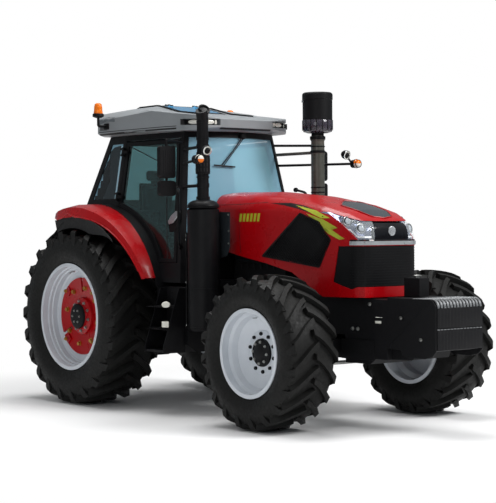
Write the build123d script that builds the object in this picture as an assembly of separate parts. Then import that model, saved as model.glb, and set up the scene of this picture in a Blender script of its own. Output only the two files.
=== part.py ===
from build123d import *
import os
from math import cos, radians, sin, sqrt

# Four-wheel-drive farm tractor with a cab, about 190 kW.
# Millimetres. X points forward, Y to the left, Z up. The model is laid out from the
# point on the ground under the rear axle, and is written out from the centre of its
# own footprint, ORIGIN_X ahead of that point.

# ---------------------------------------------------------------- driving sizes
WHEELBASE = 2995
REAR_TRACK = 1926
FRONT_TRACK = 2001
RUN_GAP = 6            # clearance between pieces that move past each other
PANEL_GAP = 5          # seam round a door
FIT = 0.05             # radial clearance of a pin in its hole
SEAT = 0.3             # clearance of a soft or curved piece from its seat

# tyres: outer radius, widths of section and tread; rims: flange and bead radius, width
REAR_TYRE_R, REAR_TYRE_W, REAR_TREAD_W = 916, 636, 600
REAR_FLANGE_R, REAR_BEAD_R, REAR_RIM_W = 559, 535, 514
FRONT_TYRE_R, FRONT_TYRE_W, FRONT_TREAD_W = 703, 534, 500
FRONT_FLANGE_R, FRONT_BEAD_R, FRONT_RIM_W = 406, 382, 439
FLANGE_T = 14          # thickness of a rim's flange
RIM_T = 12             # thickness of a rim's barrel

# front end
WEIGHT_FRONT_X = WHEELBASE + 1424
WEIGHT_BACK_X = WHEELBASE + 813
WEIGHT_COUNT = 14
WEIGHT_PITCH = 40.5
WEIGHT_SEAM = 1.5
WEIGHT_TOP_Z, WEIGHT_BOTTOM_Z = 1196, 742
HITCH_REAR_X = -1180   # rearmost point of the lower links

# hood
HOOD_NOSE_X = 3580
HOOD_BOTTOM_Z = 1190
HOOD_T = 14

# cab: plan corners at the top and at the sill, as (x, half width)
CAB_TOP_Z, CAB_SILL_Z, CAB_FLOOR_Z = 2815, 1490, 1330
A_TOP, A_LOW = (1173, 577), (1372, 781)
B_TOP, B_LOW = (250, 660), (250, 882)
C_TOP, C_WAIST = (-60, 645), (-380, 750)
WAIST_Z = 2105
WALL_T = 46
GLASS_T = 6
SCREEN_BULGE = 150
ARCH_R = 1180          # door edge and cab side above the rear tyre
FENDER_T = 12

# ---------------------------------------------------------------- worked-out places
REAR_Z = REAR_TYRE_R
FRONT_Z = FRONT_TYRE_R
ORIGIN_X = (WEIGHT_FRONT_X + HITCH_REAR_X) / 2
SIDES = (("left", 1), ("right", -1))


# ---------------------------------------------------------------- helpers
def box(x, y, z):
    """Box between pairs of low and high values."""
    size = [abs(b - a) for a, b in (x, y, z)]
    mid = [(a + b) / 2 for a, b in (x, y, z)]
    return Pos(*mid) * Box(*size)


def plate(outline, y0, y1):
    """Side outline of (x, z) points, from y0 to y1."""
    face = make_face(Polyline(*[(x, y0, z) for x, z in outline], close=True))
    return extrude(face, amount=y1 - y0, dir=(0, 1, 0))


def slab(outline, z0, z1):
    """Plan outline of (x, y) points, from z0 to z1."""
    face = make_face(Polyline(*[(x, y, z0) for x, y in outline], close=True))
    return extrude(face, amount=z1 - z0, dir=(0, 0, 1))


def bar(outline, x0, x1):
    """Front outline of (y, z) points, from x0 to x1."""
    face = make_face(Polyline(*[(x0, y, z) for y, z in outline], close=True))
    return extrude(face, amount=x1 - x0, dir=(1, 0, 0))


def rod(start, end, r):
    """Round rod from one point to another."""
    a, b = Vector(*start), Vector(*end)
    plane = Plane(origin=a, z_dir=b - a)
    return extrude(plane * Circle(r), amount=(b - a).length)


def tube_run(points, r):
    """Rods end to end through the points, with a ball at each corner."""
    solid = rod(points[0], points[1], r)
    for start, end in zip(points[1:], points[2:]):
        solid += Pos(*start) * Sphere(r) + rod(start, end, r)
    return solid


def turned(profile, x, y, z, side=1):
    """Closed (radius, outward) profile turned about a wheel's axis."""
    face = make_face(Polyline(*[(r, side * w, 0) for r, w in profile], close=True))
    return Pos(x, y, z) * revolve(face, Axis.Y, 360)


def mirrored(shape):
    return mirror(shape, Plane.XZ)


def both(shape):
    """The shape and its mirror image, as solids that don't touch."""
    return Compound(children=[shape, mirrored(shape)])


def group(shapes):
    return Compound(children=list(shapes))


def frustum(sections):
    """Straight-sided body through closed outlines of (x, y, z) points."""
    wires = [make_face(Polyline(*points, close=True)) for points in sections]
    return loft(wires, ruled=True)


PARTS = {}


def keep(name, shape):
    PARTS[name] = shape


# ---------------------------------------------------------------- wheels
HUB_SHAFT_R = 70       # rear axle shaft in its housing
SPINDLE_R = 60         # front wheel spindle
REAR_DISC_W = 91       # outward place of the rear disc from the tyre's middle
REAR_DISC_R = 405
RIM_LAP = 32           # how far the disc laps over the rim's inner ring
REAR_HUB_R = 190
FRONT_DISC_W = 52
FRONT_HUB_R = 125
HUB_PLAY = 8           # gap between a hub and the housing behind it


def tyre(x, y, side, radius, width, tread, flange_r, bead_r, rim_w):
    """Solid ring from the rim's bead seats to the tread."""
    seat = rim_w / 2 - 1
    half = [
        (bead_r + SEAT, seat),
        (flange_r + 3, seat),
        (flange_r + 14, seat + 20),
        ((bead_r + radius) / 2 + 10, width / 2),
        (radius - 74, width / 2 - 8),
        (radius - 14, tread / 2),
        (radius, tread / 2 - 55),
    ]
    profile = half + [(r, -w) for r, w in reversed(half)]
    return turned(profile, x, y, radius, side)


def barrel(rim_w, flange_r, outer, inner):
    """Rim profile: flanges, then the (radius, outward) steps of its outer and inner skin."""
    edge = rim_w / 2
    face = edge + FLANGE_T
    return (
        [(flange_r, face), (flange_r, edge)]
        + outer
        + [(flange_r, -edge), (flange_r, -face)]
        + inner
    )


def rear_rim(x, y, side):
    edge, seat = REAR_RIM_W / 2, REAR_BEAD_R
    outer = [
        (seat, edge), (seat, edge - 46), (seat - 16, edge - 52), (seat - 16, edge - 84),
        (seat - 32, edge - 90), (seat - 32, REAR_DISC_W), (seat - 60, 60), (seat - 60, -70),
        (seat, -110), (seat, -edge),
    ]
    inner = [
        (seat - RIM_T, -edge - FLANGE_T), (seat - RIM_T, -116), (seat - 60 - RIM_T, -74),
        (seat - 60 - RIM_T, REAR_DISC_W - 20), (REAR_DISC_R - RIM_LAP + 1, REAR_DISC_W - 12),
        (REAR_DISC_R - RIM_LAP + 1, REAR_DISC_W), (REAR_DISC_R + 1, REAR_DISC_W),
        (seat - 50 - RIM_T, REAR_DISC_W + 4),
        (seat - 32 - RIM_T, REAR_DISC_W + 16), (seat - 32 - RIM_T, edge - 94),
        (seat - 16 - RIM_T, edge - 88), (seat - 16 - RIM_T, edge - 56),
        (seat - RIM_T, edge - 50), (seat - RIM_T, edge + FLANGE_T),
    ]
    return turned(barrel(REAR_RIM_W, REAR_FLANGE_R, outer, inner), x, y, REAR_Z, side)


def front_rim(x, y, side):
    edge, seat, disc = FRONT_RIM_W / 2, FRONT_BEAD_R, FRONT_DISC_W
    outer = [
        (seat, edge), (seat, edge - 50), (seat - 26, edge - 66), (seat - 40, 40),
        (seat - 40, -60), (seat, -100), (seat, -edge),
    ]
    inner = [
        (seat - RIM_T, -edge - FLANGE_T), (seat - RIM_T, -106), (seat - 40 - RIM_T, -66),
        (seat - 40 - RIM_T, 24), (FRONT_HUB_R + 108, disc - 14), (FRONT_HUB_R, disc - 14),
        (FRONT_HUB_R, disc), (FRONT_HUB_R + 100, disc + 2), (seat - 62, disc + 40),
        (seat - 28 - RIM_T, edge - 74), (seat - RIM_T, edge - 56),
        (seat - RIM_T, edge + FLANGE_T),
    ]
    return turned(barrel(FRONT_RIM_W, FRONT_FLANGE_R, outer, inner), x, y, FRONT_Z, side)


def rear_centre(x, y, side):
    """Cast disc with three wedge slots, on the axle's hub."""
    w = REAR_DISC_W
    profile = [
        (0, w - 230), (HUB_SHAFT_R, w - 230), (HUB_SHAFT_R, w - 150), (REAR_HUB_R, w - 150),
        (REAR_HUB_R + 30, w - 60), (REAR_HUB_R + 40, w - 34),
        (REAR_DISC_R - RIM_LAP, w - 8), (REAR_DISC_R - RIM_LAP, w), (REAR_DISC_R, w),
        (REAR_DISC_R, w + 22), (REAR_HUB_R + 60, w + 2), (REAR_HUB_R + 10, w - 6),
        (REAR_HUB_R, w + 26), (REAR_HUB_R - 50, w + 40), (REAR_HUB_R - 64, w + 74), (0, w + 80),
    ]
    disc = turned(profile, x, y, REAR_Z, side)
    for turn in (30, 150, 270):
        slot = Box(150, 60, 34)
        slot = Pos(x, y + side * (w + 2), REAR_Z) * Rot(0, turn, 0) * Pos(330, 0, 0) * slot
        disc -= slot
    return disc


def front_hub(x, y, side):
    w = FRONT_DISC_W
    profile = [
        (SPINDLE_R + FIT, w - 140), (FRONT_HUB_R + 50, w - 140), (FRONT_HUB_R + 50, w - 16),
        (FRONT_HUB_R + 36, w - 14), (FRONT_HUB_R, w - 14), (FRONT_HUB_R, w + 20),
        (FRONT_HUB_R - 14, w + 34), (0, w + 38), (0, w - 60), (SPINDLE_R + FIT, w - 60),
    ]
    return turned(profile, x, y, FRONT_Z, side)


for word, side in SIDES:
    rear_y, front_y = side * REAR_TRACK / 2, side * FRONT_TRACK / 2
    keep(f"rear_{word}_tyre", tyre(0, rear_y, side, REAR_TYRE_R, REAR_TYRE_W, REAR_TREAD_W,
                                   REAR_FLANGE_R, REAR_BEAD_R, REAR_RIM_W))
    keep(f"rear_{word}_rim", rear_rim(0, rear_y, side))
    keep(f"rear_{word}_wheel_centre", rear_centre(0, rear_y, side))
    keep(f"front_{word}_tyre", tyre(WHEELBASE, front_y, side, FRONT_TYRE_R, FRONT_TYRE_W,
                                    FRONT_TREAD_W, FRONT_FLANGE_R, FRONT_BEAD_R, FRONT_RIM_W))
    keep(f"front_{word}_rim", front_rim(WHEELBASE, front_y, side))
    keep(f"front_{word}_hub", front_hub(WHEELBASE, front_y, side))

# ---------------------------------------------------------------- front axle and steering
KINGPIN_Y = FRONT_TRACK / 2 - 200
KINGPIN_R = 25
AXLE_END_R = 76
AXLE_END_H = 100       # half height of the axle's end boss
YOKE_T = 38            # thickness of the knuckle's upper and lower arms
STEER_ARM = 200        # kingpin to tie-rod pin
TIE_ROD_R = 19
TIE_PIN_R = 14
TIE_OPEN_PLAY = 0.5    # clearance in the tie rod's right eye
TRUNNION_R = 60
TRUNNION_HALF = 155    # half length of the axle's trunnion along X
AXLE_HALF_X = 74

yoke_low = AXLE_END_H + RUN_GAP
yoke_high = yoke_low + YOKE_T
hub_back_y = FRONT_TRACK / 2 + FRONT_DISC_W - 140
web_y = KINGPIN_Y + AXLE_END_R + RUN_GAP


def knuckle(side):
    """Yoke over the axle's end, with the spindle, the kingpin and the steering arm."""
    outline = [(-82, 74), (-50, -70), (50, -70), (82, 74), (82, web_y - KINGPIN_Y + 20),
               (-82, web_y - KINGPIN_Y + 20)]
    outline = [(WHEELBASE + x, KINGPIN_Y + y) for x, y in outline]
    body = slab(outline, FRONT_Z + yoke_low, FRONT_Z + yoke_high)
    body += slab(outline, FRONT_Z - yoke_high, FRONT_Z - yoke_low)
    body += box((WHEELBASE - 82, WHEELBASE + 82), (web_y, hub_back_y - HUB_PLAY),
                (FRONT_Z - yoke_high, FRONT_Z + yoke_high))
    body += rod((WHEELBASE, KINGPIN_Y, FRONT_Z - yoke_high - 12),
                (WHEELBASE, KINGPIN_Y, FRONT_Z + yoke_high + 12), KINGPIN_R)
    body += rod((WHEELBASE, web_y, FRONT_Z), (WHEELBASE, hub_back_y + 76, FRONT_Z), SPINDLE_R)
    arm = [(-70, 60), (-STEER_ARM - 26, 24), (-STEER_ARM - 26, -24), (-STEER_ARM + 20, -26),
           (-40, -66)]
    arm = [(WHEELBASE + x, KINGPIN_Y + y) for x, y in arm]
    body += slab(arm, FRONT_Z - yoke_high, FRONT_Z - yoke_low)
    pin_x, pin_y = WHEELBASE - STEER_ARM, KINGPIN_Y
    body += rod((pin_x, pin_y, FRONT_Z - yoke_high - 46), (pin_x, pin_y, FRONT_Z - yoke_low),
                TIE_PIN_R)
    return body if side > 0 else mirrored(body)


def tie_rod():
    x, y, z = WHEELBASE - STEER_ARM, KINGPIN_Y, FRONT_Z - yoke_high - 24
    body = rod((x, -y + 20, z), (x, y - 20, z), TIE_ROD_R)
    for end in (-y, y):
        body += rod((x, end, z - 18), (x, end, z + 18), 30)
    for end, play in ((y, FIT), (-y, TIE_OPEN_PLAY)):
        body -= rod((x, end, z - 40), (x, end, z + 40), TIE_PIN_R + play)
    return body


def front_axle():
    """Beam with a centre trunnion along X and a bored boss at each end."""
    halves = []
    sections = ((130, 110, 96), (420, AXLE_HALF_X, 66), (KINGPIN_Y - 30, AXLE_HALF_X - 8, 74))
    body = box((WHEELBASE - 110, WHEELBASE + 110), (-130, 130), (FRONT_Z - 96, FRONT_Z + 96))
    for side in (1, -1):
        outlines = []
        for y, half_x, half_z in sections:
            outlines.append([(WHEELBASE - half_x, side * y, FRONT_Z - half_z),
                             (WHEELBASE + half_x, side * y, FRONT_Z - half_z),
                             (WHEELBASE + half_x, side * y, FRONT_Z + half_z),
                             (WHEELBASE - half_x, side * y, FRONT_Z + half_z)])
        for inner, outer in zip(outlines, outlines[1:]):
            halves.append(frustum([inner, outer]))
        halves.append(rod((WHEELBASE, side * KINGPIN_Y, FRONT_Z - AXLE_END_H),
                          (WHEELBASE, side * KINGPIN_Y, FRONT_Z + AXLE_END_H), AXLE_END_R))
    for piece in halves:
        body += piece
    body += rod((WHEELBASE - TRUNNION_HALF, 0, FRONT_Z), (WHEELBASE + TRUNNION_HALF, 0, FRONT_Z),
                TRUNNION_R)
    for side in (1, -1):
        body -= rod((WHEELBASE, side * KINGPIN_Y, FRONT_Z - 2 * AXLE_END_H),
                    (WHEELBASE, side * KINGPIN_Y, FRONT_Z + 2 * AXLE_END_H), KINGPIN_R + FIT)
    return body


keep("left_knuckle", knuckle(1))
keep("right_knuckle", knuckle(-1))
keep("tie_rod", tie_rod())
keep("front_axle", front_axle())

# ---------------------------------------------------------------- rear linkage sizes
ROCKSHAFT = (-320, 1110)
ROCKSHAFT_R = 45
LIFT_ARM_TIP = (-680, 1200)
LIFT_ARM_Y = (285, 325)
LIFT_PIN_R = 16
LIFT_ROD_Y = (329, 363)
LINK_PIVOT = (-120, 600)
LINK_PIVOT_R = 18
LINK_LIFT = (-690, 640)
LINK_END = (HITCH_REAR_X + 52, 660)
LINK_PLAN = ((-120, 310), (-690, 402), (HITCH_REAR_X + 52, 505))
LINK_T = 32
BALL_BORE_R = 18.7
TOP_LINK_PIVOT = (-500, 1010)
TOP_LINK_TIP = (-545, 1725)
TOP_PIN_R = 16
PTO_Z = 690
PTO_R = 22
DRAWBAR_X = (-820, -60)
DRAWBAR_Z = (455, 497)
DRAWBAR_PIN_R = 20
DRAWBAR_PIN_X = -770

# ---------------------------------------------------------------- chassis
FRAME_HALF = 262
FRAME_TOP_Z = 1180
FRAME_FRONT_X = WHEELBASE + 645
ENGINE_X = (1560, 2360)
ENGINE_HALF = 250
ENGINE_TOP_Z = 1640
HOUSING_REAR_X = -430
HOUSING_HALF = 250
TRUMPET_R = 150
TRUMPET_END_Y = REAR_TRACK / 2 + REAR_DISC_W - 150 - HUB_PLAY
CARRIER_HALF, CARRIER_LOW_Z, CARRIER_FRONT_X = 283, 640, WHEELBASE + 1115
TOW_BLOCK_X, TOW_HALF, TOW_TOP_Z = (WHEELBASE + 799, WHEELBASE + 994), 60, 1368
TOW_GAP = 6            # under the tow block, over the weights
TANK_INNER_Y = 290
TANK_CARRIER_X = (1200, 1440)   # cross bars under the tank and the battery box
TANK_CARRIER_Z = (820, 900)


def front_frame():
    """Cast bolster under the radiator, with two bearings for the axle's trunnion."""
    clear_z = FRONT_Z + 96 + 40
    outline = [(ENGINE_X[1], 640), (ENGINE_X[1], FRAME_TOP_Z), (FRAME_FRONT_X, FRAME_TOP_Z),
               (FRAME_FRONT_X, 640), (FRAME_FRONT_X - 80, 585), (WHEELBASE + 235, 585),
               (WHEELBASE + 230, clear_z), (WHEELBASE - 255, clear_z), (WHEELBASE - 355, 640)]
    body = plate(outline, -FRAME_HALF, FRAME_HALF)
    for x in (WHEELBASE - TRUNNION_HALF, WHEELBASE + 115):
        bearing = box((x, x + 40), (-110, 110), (FRONT_Z - 90, clear_z + 10))
        body += bearing - rod((x - 10, 0, FRONT_Z), (x + 50, 0, FRONT_Z), TRUNNION_R)
    return body


def engine():
    outline = [(-ENGINE_HALF, 900), (-170, 640), (170, 640), (ENGINE_HALF, 900),
               (ENGINE_HALF, 1380), (235, 1500), (235, ENGINE_TOP_Z), (-235, ENGINE_TOP_Z), (-235, 1500),
               (-ENGINE_HALF, 1380)]
    return bar(outline, *ENGINE_X)


def transmission():
    """Gearbox from the engine back to the rear cover, through six-sided sections."""
    # columns: x, half width, bottom z, top z
    stations = ((HOUSING_REAR_X, 210, 560, 1190), (-260, HOUSING_HALF, 520, 1230),
                (250, HOUSING_HALF, 520, 1230),
                (420, 220, 540, 1120), (1080, 220, 560, 1120), (ENGINE_X[0], 290, 600, 1240))
    outlines = []
    for x, half, low, high in stations:
        cut = half * 0.3
        outlines.append([(x, -half + cut, low), (x, half - cut, low), (x, half, low + cut),
                         (x, half, high - cut), (x, half - cut, high), (x, -half + cut, high),
                         (x, -half, high - cut), (x, -half, low + cut)])
    body = loft([make_face(Polyline(*points, close=True)) for points in outlines], ruled=True)
    rx, rz = ROCKSHAFT
    boss_y = LIFT_ARM_Y[0] - RUN_GAP
    body += rod((rx, -boss_y, rz), (rx, boss_y, rz), ROCKSHAFT_R + 30)
    body -= rod((rx, -400, rz), (rx, 400, rz), ROCKSHAFT_R + FIT)
    carrier_y = TANK_INNER_Y - SEAT
    for x in TANK_CARRIER_X:
        body += box((x, x + 60), (-carrier_y, carrier_y), TANK_CARRIER_Z)
    return body - rod((HOUSING_REAR_X - 10, 0, PTO_Z), (HOUSING_REAR_X + 80, 0, PTO_Z), PTO_R + FIT)


def link_bracket():
    """Bracket and cantilever pin that carry one lower link."""
    x, z = LINK_PIVOT
    inner = LINK_PLAN[0][1] - LINK_T / 2 - RUN_GAP
    outer = LINK_PLAN[0][1] + LINK_T / 2 + RUN_GAP
    body = box((x - 60, x + 60), (HOUSING_HALF, inner), (z - 50, z + 200))
    body += rod((x, inner, z), (x, outer + 12, z), LINK_PIVOT_R)
    return body + rod((x, outer, z), (x, outer + 12, z), 32)


def rear_axle():
    """Two trumpet housings bolted to the gearbox, each with a flange and a shaft bore."""
    profile = [(HUB_SHAFT_R + FIT, 600), (0, 600), (0, HOUSING_HALF),
               (TRUMPET_R + 60, HOUSING_HALF), (TRUMPET_R + 60, HOUSING_HALF + 40), (TRUMPET_R, 330),
               (TRUMPET_R - 20, TRUMPET_END_Y - 60),
               (TRUMPET_R + 40, TRUMPET_END_Y - 40), (TRUMPET_R + 40, TRUMPET_END_Y),
               (HUB_SHAFT_R + FIT, TRUMPET_END_Y)]
    return both(turned(profile, 0, 0, REAR_Z) + link_bracket())


keep("front_frame", front_frame())
keep("engine_block", engine())
transmission_body = transmission()
keep("transmission", transmission_body)
keep("rear_axle", rear_axle())
keep("radiator", box((2860, 3240), (-320, 320), (FRAME_TOP_Z, 1900)))
keep("weight_carrier",
     box((FRAME_FRONT_X, WEIGHT_BACK_X), (-CARRIER_HALF, CARRIER_HALF), (CARRIER_LOW_Z, FRAME_TOP_Z - 4))
     + box((TOW_BLOCK_X[0], WEIGHT_BACK_X), (-TOW_HALF, TOW_HALF), (FRAME_TOP_Z - 4, TOW_TOP_Z))
     + box(TOW_BLOCK_X, (-TOW_HALF, TOW_HALF), (WEIGHT_TOP_Z + TOW_GAP, TOW_TOP_Z))
     + plate([(WEIGHT_BACK_X, CARRIER_LOW_Z), (WEIGHT_BACK_X, WEIGHT_BOTTOM_Z - SEAT),
              (CARRIER_FRONT_X, WEIGHT_BOTTOM_Z - SEAT), (CARRIER_FRONT_X - 40, CARRIER_LOW_Z + 14)],
             -CARRIER_HALF + 60, CARRIER_HALF - 60))


def weights():
    """Suitcase weights side by side, each with rounded front corners and a grip groove."""
    height = WEIGHT_TOP_Z - WEIGHT_BOTTOM_Z
    length = WEIGHT_FRONT_X - WEIGHT_BACK_X
    outline = Pos(WEIGHT_BACK_X + length / 2, 0, WEIGHT_BOTTOM_Z + height / 2) * (
        Plane.XZ * Rectangle(length, height))
    front = [v for v in outline.vertices() if v.X > WEIGHT_BACK_X + length / 2]
    outline = fillet(front, 70)
    one = extrude(outline, amount=WEIGHT_PITCH - WEIGHT_SEAM, dir=(0, 1, 0))
    groove = box((WEIGHT_FRONT_X - 8, WEIGHT_FRONT_X + 8), (-5, WEIGHT_PITCH + 5),
                 (WEIGHT_BOTTOM_Z + 190, WEIGHT_BOTTOM_Z + 202))
    one -= groove
    start = -WEIGHT_COUNT * WEIGHT_PITCH / 2
    return group(Pos(0, start + i * WEIGHT_PITCH, 0) * one for i in range(WEIGHT_COUNT))


keep("front_weights", weights())

# ---------------------------------------------------------------- cab
DOOR_REAR_X = 286
DOOR_TOP_Z = 2740
DOOR_SILL_Z = CAB_SILL_Z
PILLAR_W = 66          # width of the A pillar ahead of the door
DOOR_RIM = 40          # width of the door's frame round its glass
DOOR_SWING_GAP = 16    # ahead of the door, whose front edge swings forward as it opens
DOOR_RISE_GAP = 14     # over the door, which rises as it opens about its leaning hinges
DOOR_ARCH_R = ARCH_R + 12
HINGE_OUT = 26         # hinge axis outside the cab's skin
HINGE_BACK = 18        # and behind the door's rear edge
SCREEN_SILL_Z = 1700
INNER_WALL_Y = 600     # cab side between the rear tyres
INNER_WALL_T = 16
WING_INNER_Y = 900     # seam between the black arch and the painted wing
CAB_REAR_X = C_WAIST[0]
LINER_END = 122        # rear end of the black arch, in degrees about the axle
LAMP_WALL_X, LAMP_WALL_Z = -640, 1790   # wall behind the cab that carries the rear lamp


def between(z, low_z, high_z, low, high):
    """Point at height z on the straight line through two (x, y) points."""
    share = (z - low_z) / (high_z - low_z)
    return tuple(a + (b - a) * share for a, b in zip(low, high))


def a_line(z):
    return between(z, CAB_SILL_Z, CAB_TOP_Z, A_LOW, A_TOP)


def b_line(z):
    return between(z, CAB_SILL_Z, CAB_TOP_Z, B_LOW, B_TOP)


def c_line(z):
    x, y = between(z, WAIST_Z, CAB_TOP_Z, C_WAIST, C_TOP)
    return max(x, CAB_REAR_X), y


def cab_section(z, inset):
    """Plan outline of the cab at one height, with the bowed front."""
    (ax, ay), (bx, by), (cx, cy) = a_line(z), b_line(z), c_line(z)
    ax, ay, by = ax - inset, ay - inset, by - inset
    cx, cy = cx + inset, cy - inset
    side = Polyline((ax, ay, z), (bx, by, z), (cx, cy, z), (cx, -cy, z), (bx, -by, z), (ax, -ay, z))
    bow = ThreePointArc((ax, -ay, z), (ax + SCREEN_BULGE, 0, z), (ax, ay, z))
    return make_face(side.edges() + bow.edges())


def cab_solid(inset, low, high):
    """Inside of the cab's skin, moved in by the inset."""
    levels = [z for z in (low, WAIST_Z, high)]
    return loft([cab_section(z, inset) for z in levels], ruled=True)


def side_face(points, arc=None):
    """Side outline of (x, z) points; arc = (index, middle point) bends one edge."""
    edges = []
    for i, start in enumerate(points):
        end = points[(i + 1) % len(points)]
        a, b = (start[0], 0, start[1]), (end[0], 0, end[1])
        if arc and arc[0] == i:
            edges.append(ThreePointArc(a, (arc[1][0], 0, arc[1][1]), b).edge())
        else:
            edges.append(Line(a, b).edge())
    return make_face(edges)


def arch_z(x, r):
    return REAR_Z + sqrt(r * r - x * x)


def arch_x(z, r):
    return sqrt(r * r - (z - REAR_Z) ** 2)


def door_outline(inset, front_inset, head_inset):
    """Door seen from the side: sill, wheel-arch curve, rear edge, head and front edge."""
    low, high = DOOR_SILL_Z + inset, DOOR_TOP_Z - head_inset
    rear = DOOR_REAR_X + inset
    front = PILLAR_W + front_inset
    curve = DOOR_ARCH_R + inset
    low_rear = arch_x(low, curve)
    middle = (low_rear + rear) / 2 + 90
    points = [(a_line(low)[0] - front, low), (low_rear, low), (rear, arch_z(rear, curve)),
              (rear, high), (a_line(high)[0] - front, high)]
    return side_face(points, (1, (middle, arch_z(middle, curve))))


def side_prism(face, side=1):
    """A side outline carried out through one side of the cab."""
    prism = extrude(Pos(0, 300, 0) * face, amount=900, dir=(0, 1, 0))
    return prism if side > 0 else mirrored(prism)


DOOR_HINGE_Z = (2170, 2640)
DOOR_KNUCKLE_R = 15
DOOR_HINGE_PIN_R = 8
DOOR_KNUCKLE_HALF = 16
FRAME_KNUCKLE = (18, 46)   # the frame's knuckles, above and below the door's
KNUCKLE_LEAN = 4           # the leaves stop short of the leaning knuckles' ends


def door_hinge_point(z):
    return (DOOR_REAR_X - HINGE_BACK, b_line(z)[1] + HINGE_OUT, z)


def door_knuckle(low, high):
    return rod(door_hinge_point(low), door_hinge_point(high), DOOR_KNUCKLE_R)


def door_leaves(z):
    """Left door's moving leaf and fixed leaf of the hinge at one height."""
    x, y, _ = door_hinge_point(z)
    skin = y - HINGE_OUT
    half, (near, far) = DOOR_KNUCKLE_HALF, FRAME_KNUCKLE
    arm = [(x, y - 13), (x + 26, skin + 12), (x + 26, skin - 22), (x + 56, skin - 26),
           (x + 56, skin + 8), (x + 34, y + 13), (x, y + 13)]
    moving = door_knuckle(z - half, z + half) + slab(arm, z - half + KNUCKLE_LEAN, z + half - KNUCKLE_LEAN)
    moving -= rod(door_hinge_point(z - 2 * half), door_hinge_point(z + 2 * half),
                  DOOR_HINGE_PIN_R + FIT)
    fixed = rod(door_hinge_point(z - far), door_hinge_point(z + far), DOOR_HINGE_PIN_R)
    for low, high in ((z - far, z - near), (z + near, z + far)):
        fixed += door_knuckle(low, high)
        fixed += box((x - 30, x), (skin - 14, y + 13), (low + KNUCKLE_LEAN, high - KNUCKLE_LEAN))
    return moving, fixed


outer_cab = cab_solid(0, CAB_FLOOR_Z, CAB_TOP_Z)
cab_room = cab_solid(WALL_T, CAB_FLOOR_Z - 10, CAB_TOP_Z + 10)
glass_skin = cab_solid(10, CAB_FLOOR_Z, CAB_TOP_Z) - cab_solid(
    10 + GLASS_T, CAB_FLOOR_Z - 10, CAB_TOP_Z + 10)
cab_wall = outer_cab - cab_room
quarter_low_z = 2150
quarter_outline = side_face([
    (B_TOP[0] - 34, quarter_low_z), (B_TOP[0] - 34, DOOR_TOP_Z - 10),
    (c_line(DOOR_TOP_Z - 10)[0] + 90, DOOR_TOP_Z - 10), (c_line(quarter_low_z)[0] + 90, quarter_low_z)])
rear_window_outline = [(-650, quarter_low_z), (650, quarter_low_z),
                       (560, DOOR_TOP_Z - 10), (-560, DOOR_TOP_Z - 10)]
screen_outline = [(-a_line(SCREEN_SILL_Z)[1] + 50, SCREEN_SILL_Z),
                  (a_line(SCREEN_SILL_Z)[1] - 50, SCREEN_SILL_Z),
                  (a_line(CAB_TOP_Z - 60)[1] - 44, CAB_TOP_Z - 60),
                  (-a_line(CAB_TOP_Z - 60)[1] + 44, CAB_TOP_Z - 60)]
screen_prism = bar(screen_outline, 1000, 1800)
rear_prism = bar(rear_window_outline, -700, 120)
door_hole = door_outline(-PANEL_GAP, -DOOR_SWING_GAP, -DOOR_RISE_GAP)
door_edge = door_outline(0, 0, 0)
door_pane = door_outline(DOOR_RIM, DOOR_RIM, DOOR_RIM)
door_holes = [side_prism(door_hole, side) for word, side in SIDES]
quarter_holes = [side_prism(quarter_outline, side) for word, side in SIDES]


def arch_cut(radius):
    """Space over the two rear wheels, outside the narrow part of the cab."""
    drums = []
    for side in (1, -1):
        inner = INNER_WALL_Y - INNER_WALL_T - SEAT
        drums.append(rod((0, side * inner, REAR_Z), (0, side * 1400, REAR_Z), radius))
    return drums


def cab_frame():
    body = cab_wall
    for hole in door_holes + quarter_holes + [screen_prism, rear_prism] + arch_cut(ARCH_R):
        body -= hole
    for z in DOOR_HINGE_Z:
        fixed = door_leaves(z)[1] - cab_room
        body += fixed
        body += mirrored(fixed)
    return body


def fender_liner():
    """Black arch between the cab and the painted wing, with the wall inside the wheel."""
    ring = (rod((0, INNER_WALL_Y - INNER_WALL_T, REAR_Z), (0, WING_INNER_Y - SEAT, REAR_Z), ARCH_R - SEAT)
            - rod((0, INNER_WALL_Y - 30, REAR_Z), (0, 910, REAR_Z), ARCH_R - SEAT - FENDER_T))
    rear = radians(LINER_END)
    span = side_face([(0, REAR_Z), (1500, REAR_Z + 440), (1500, 2400), (-900, 2400),
                      (1500 * cos(rear), REAR_Z + 1500 * sin(rear))])
    ring = ring & side_prism(span)
    wall = plate([(CAB_REAR_X + 5, CAB_FLOOR_Z), (1080, CAB_FLOOR_Z), (1080, 2400),
                  (CAB_REAR_X + 5, 2400)], INNER_WALL_Y - INNER_WALL_T, INNER_WALL_Y)
    wall += plate([(LAMP_WALL_X, LAMP_WALL_Z), (CAB_REAR_X + 5, LAMP_WALL_Z), (CAB_REAR_X + 5, 2400),
                   (LAMP_WALL_X, 2400)], INNER_WALL_Y - INNER_WALL_T, INNER_WALL_Y)
    wall = wall & rod((0, 400, REAR_Z), (0, 700, REAR_Z), ARCH_R - SEAT - FENDER_T / 2)
    return ring + wall


def door(side):
    rim = cab_wall & side_prism(door_edge, side)
    rim -= side_prism(door_pane, side)
    for z in DOOR_HINGE_Z:
        leaf = door_leaves(z)[0]
        rim += leaf if side > 0 else mirrored(leaf)
        hole = rod(door_hinge_point(z - 60), door_hinge_point(z + 60), DOOR_HINGE_PIN_R + FIT)
        rim -= hole if side > 0 else mirrored(hole)
    return rim


def door_glass(side):
    return glass_skin & side_prism(door_pane, side)


keep("cab_frame", cab_frame())
keep("fender_liners", both(fender_liner()))
keep("cab_windows", group([glass_skin & screen_prism, glass_skin & quarter_holes[0],
                           glass_skin & quarter_holes[1], glass_skin & rear_prism]))
for word, side in SIDES:
    keep(f"{word}_door", door(side))
    keep(f"{word}_door_glass", door_glass(side))

FLOOR_T = 40


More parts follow.
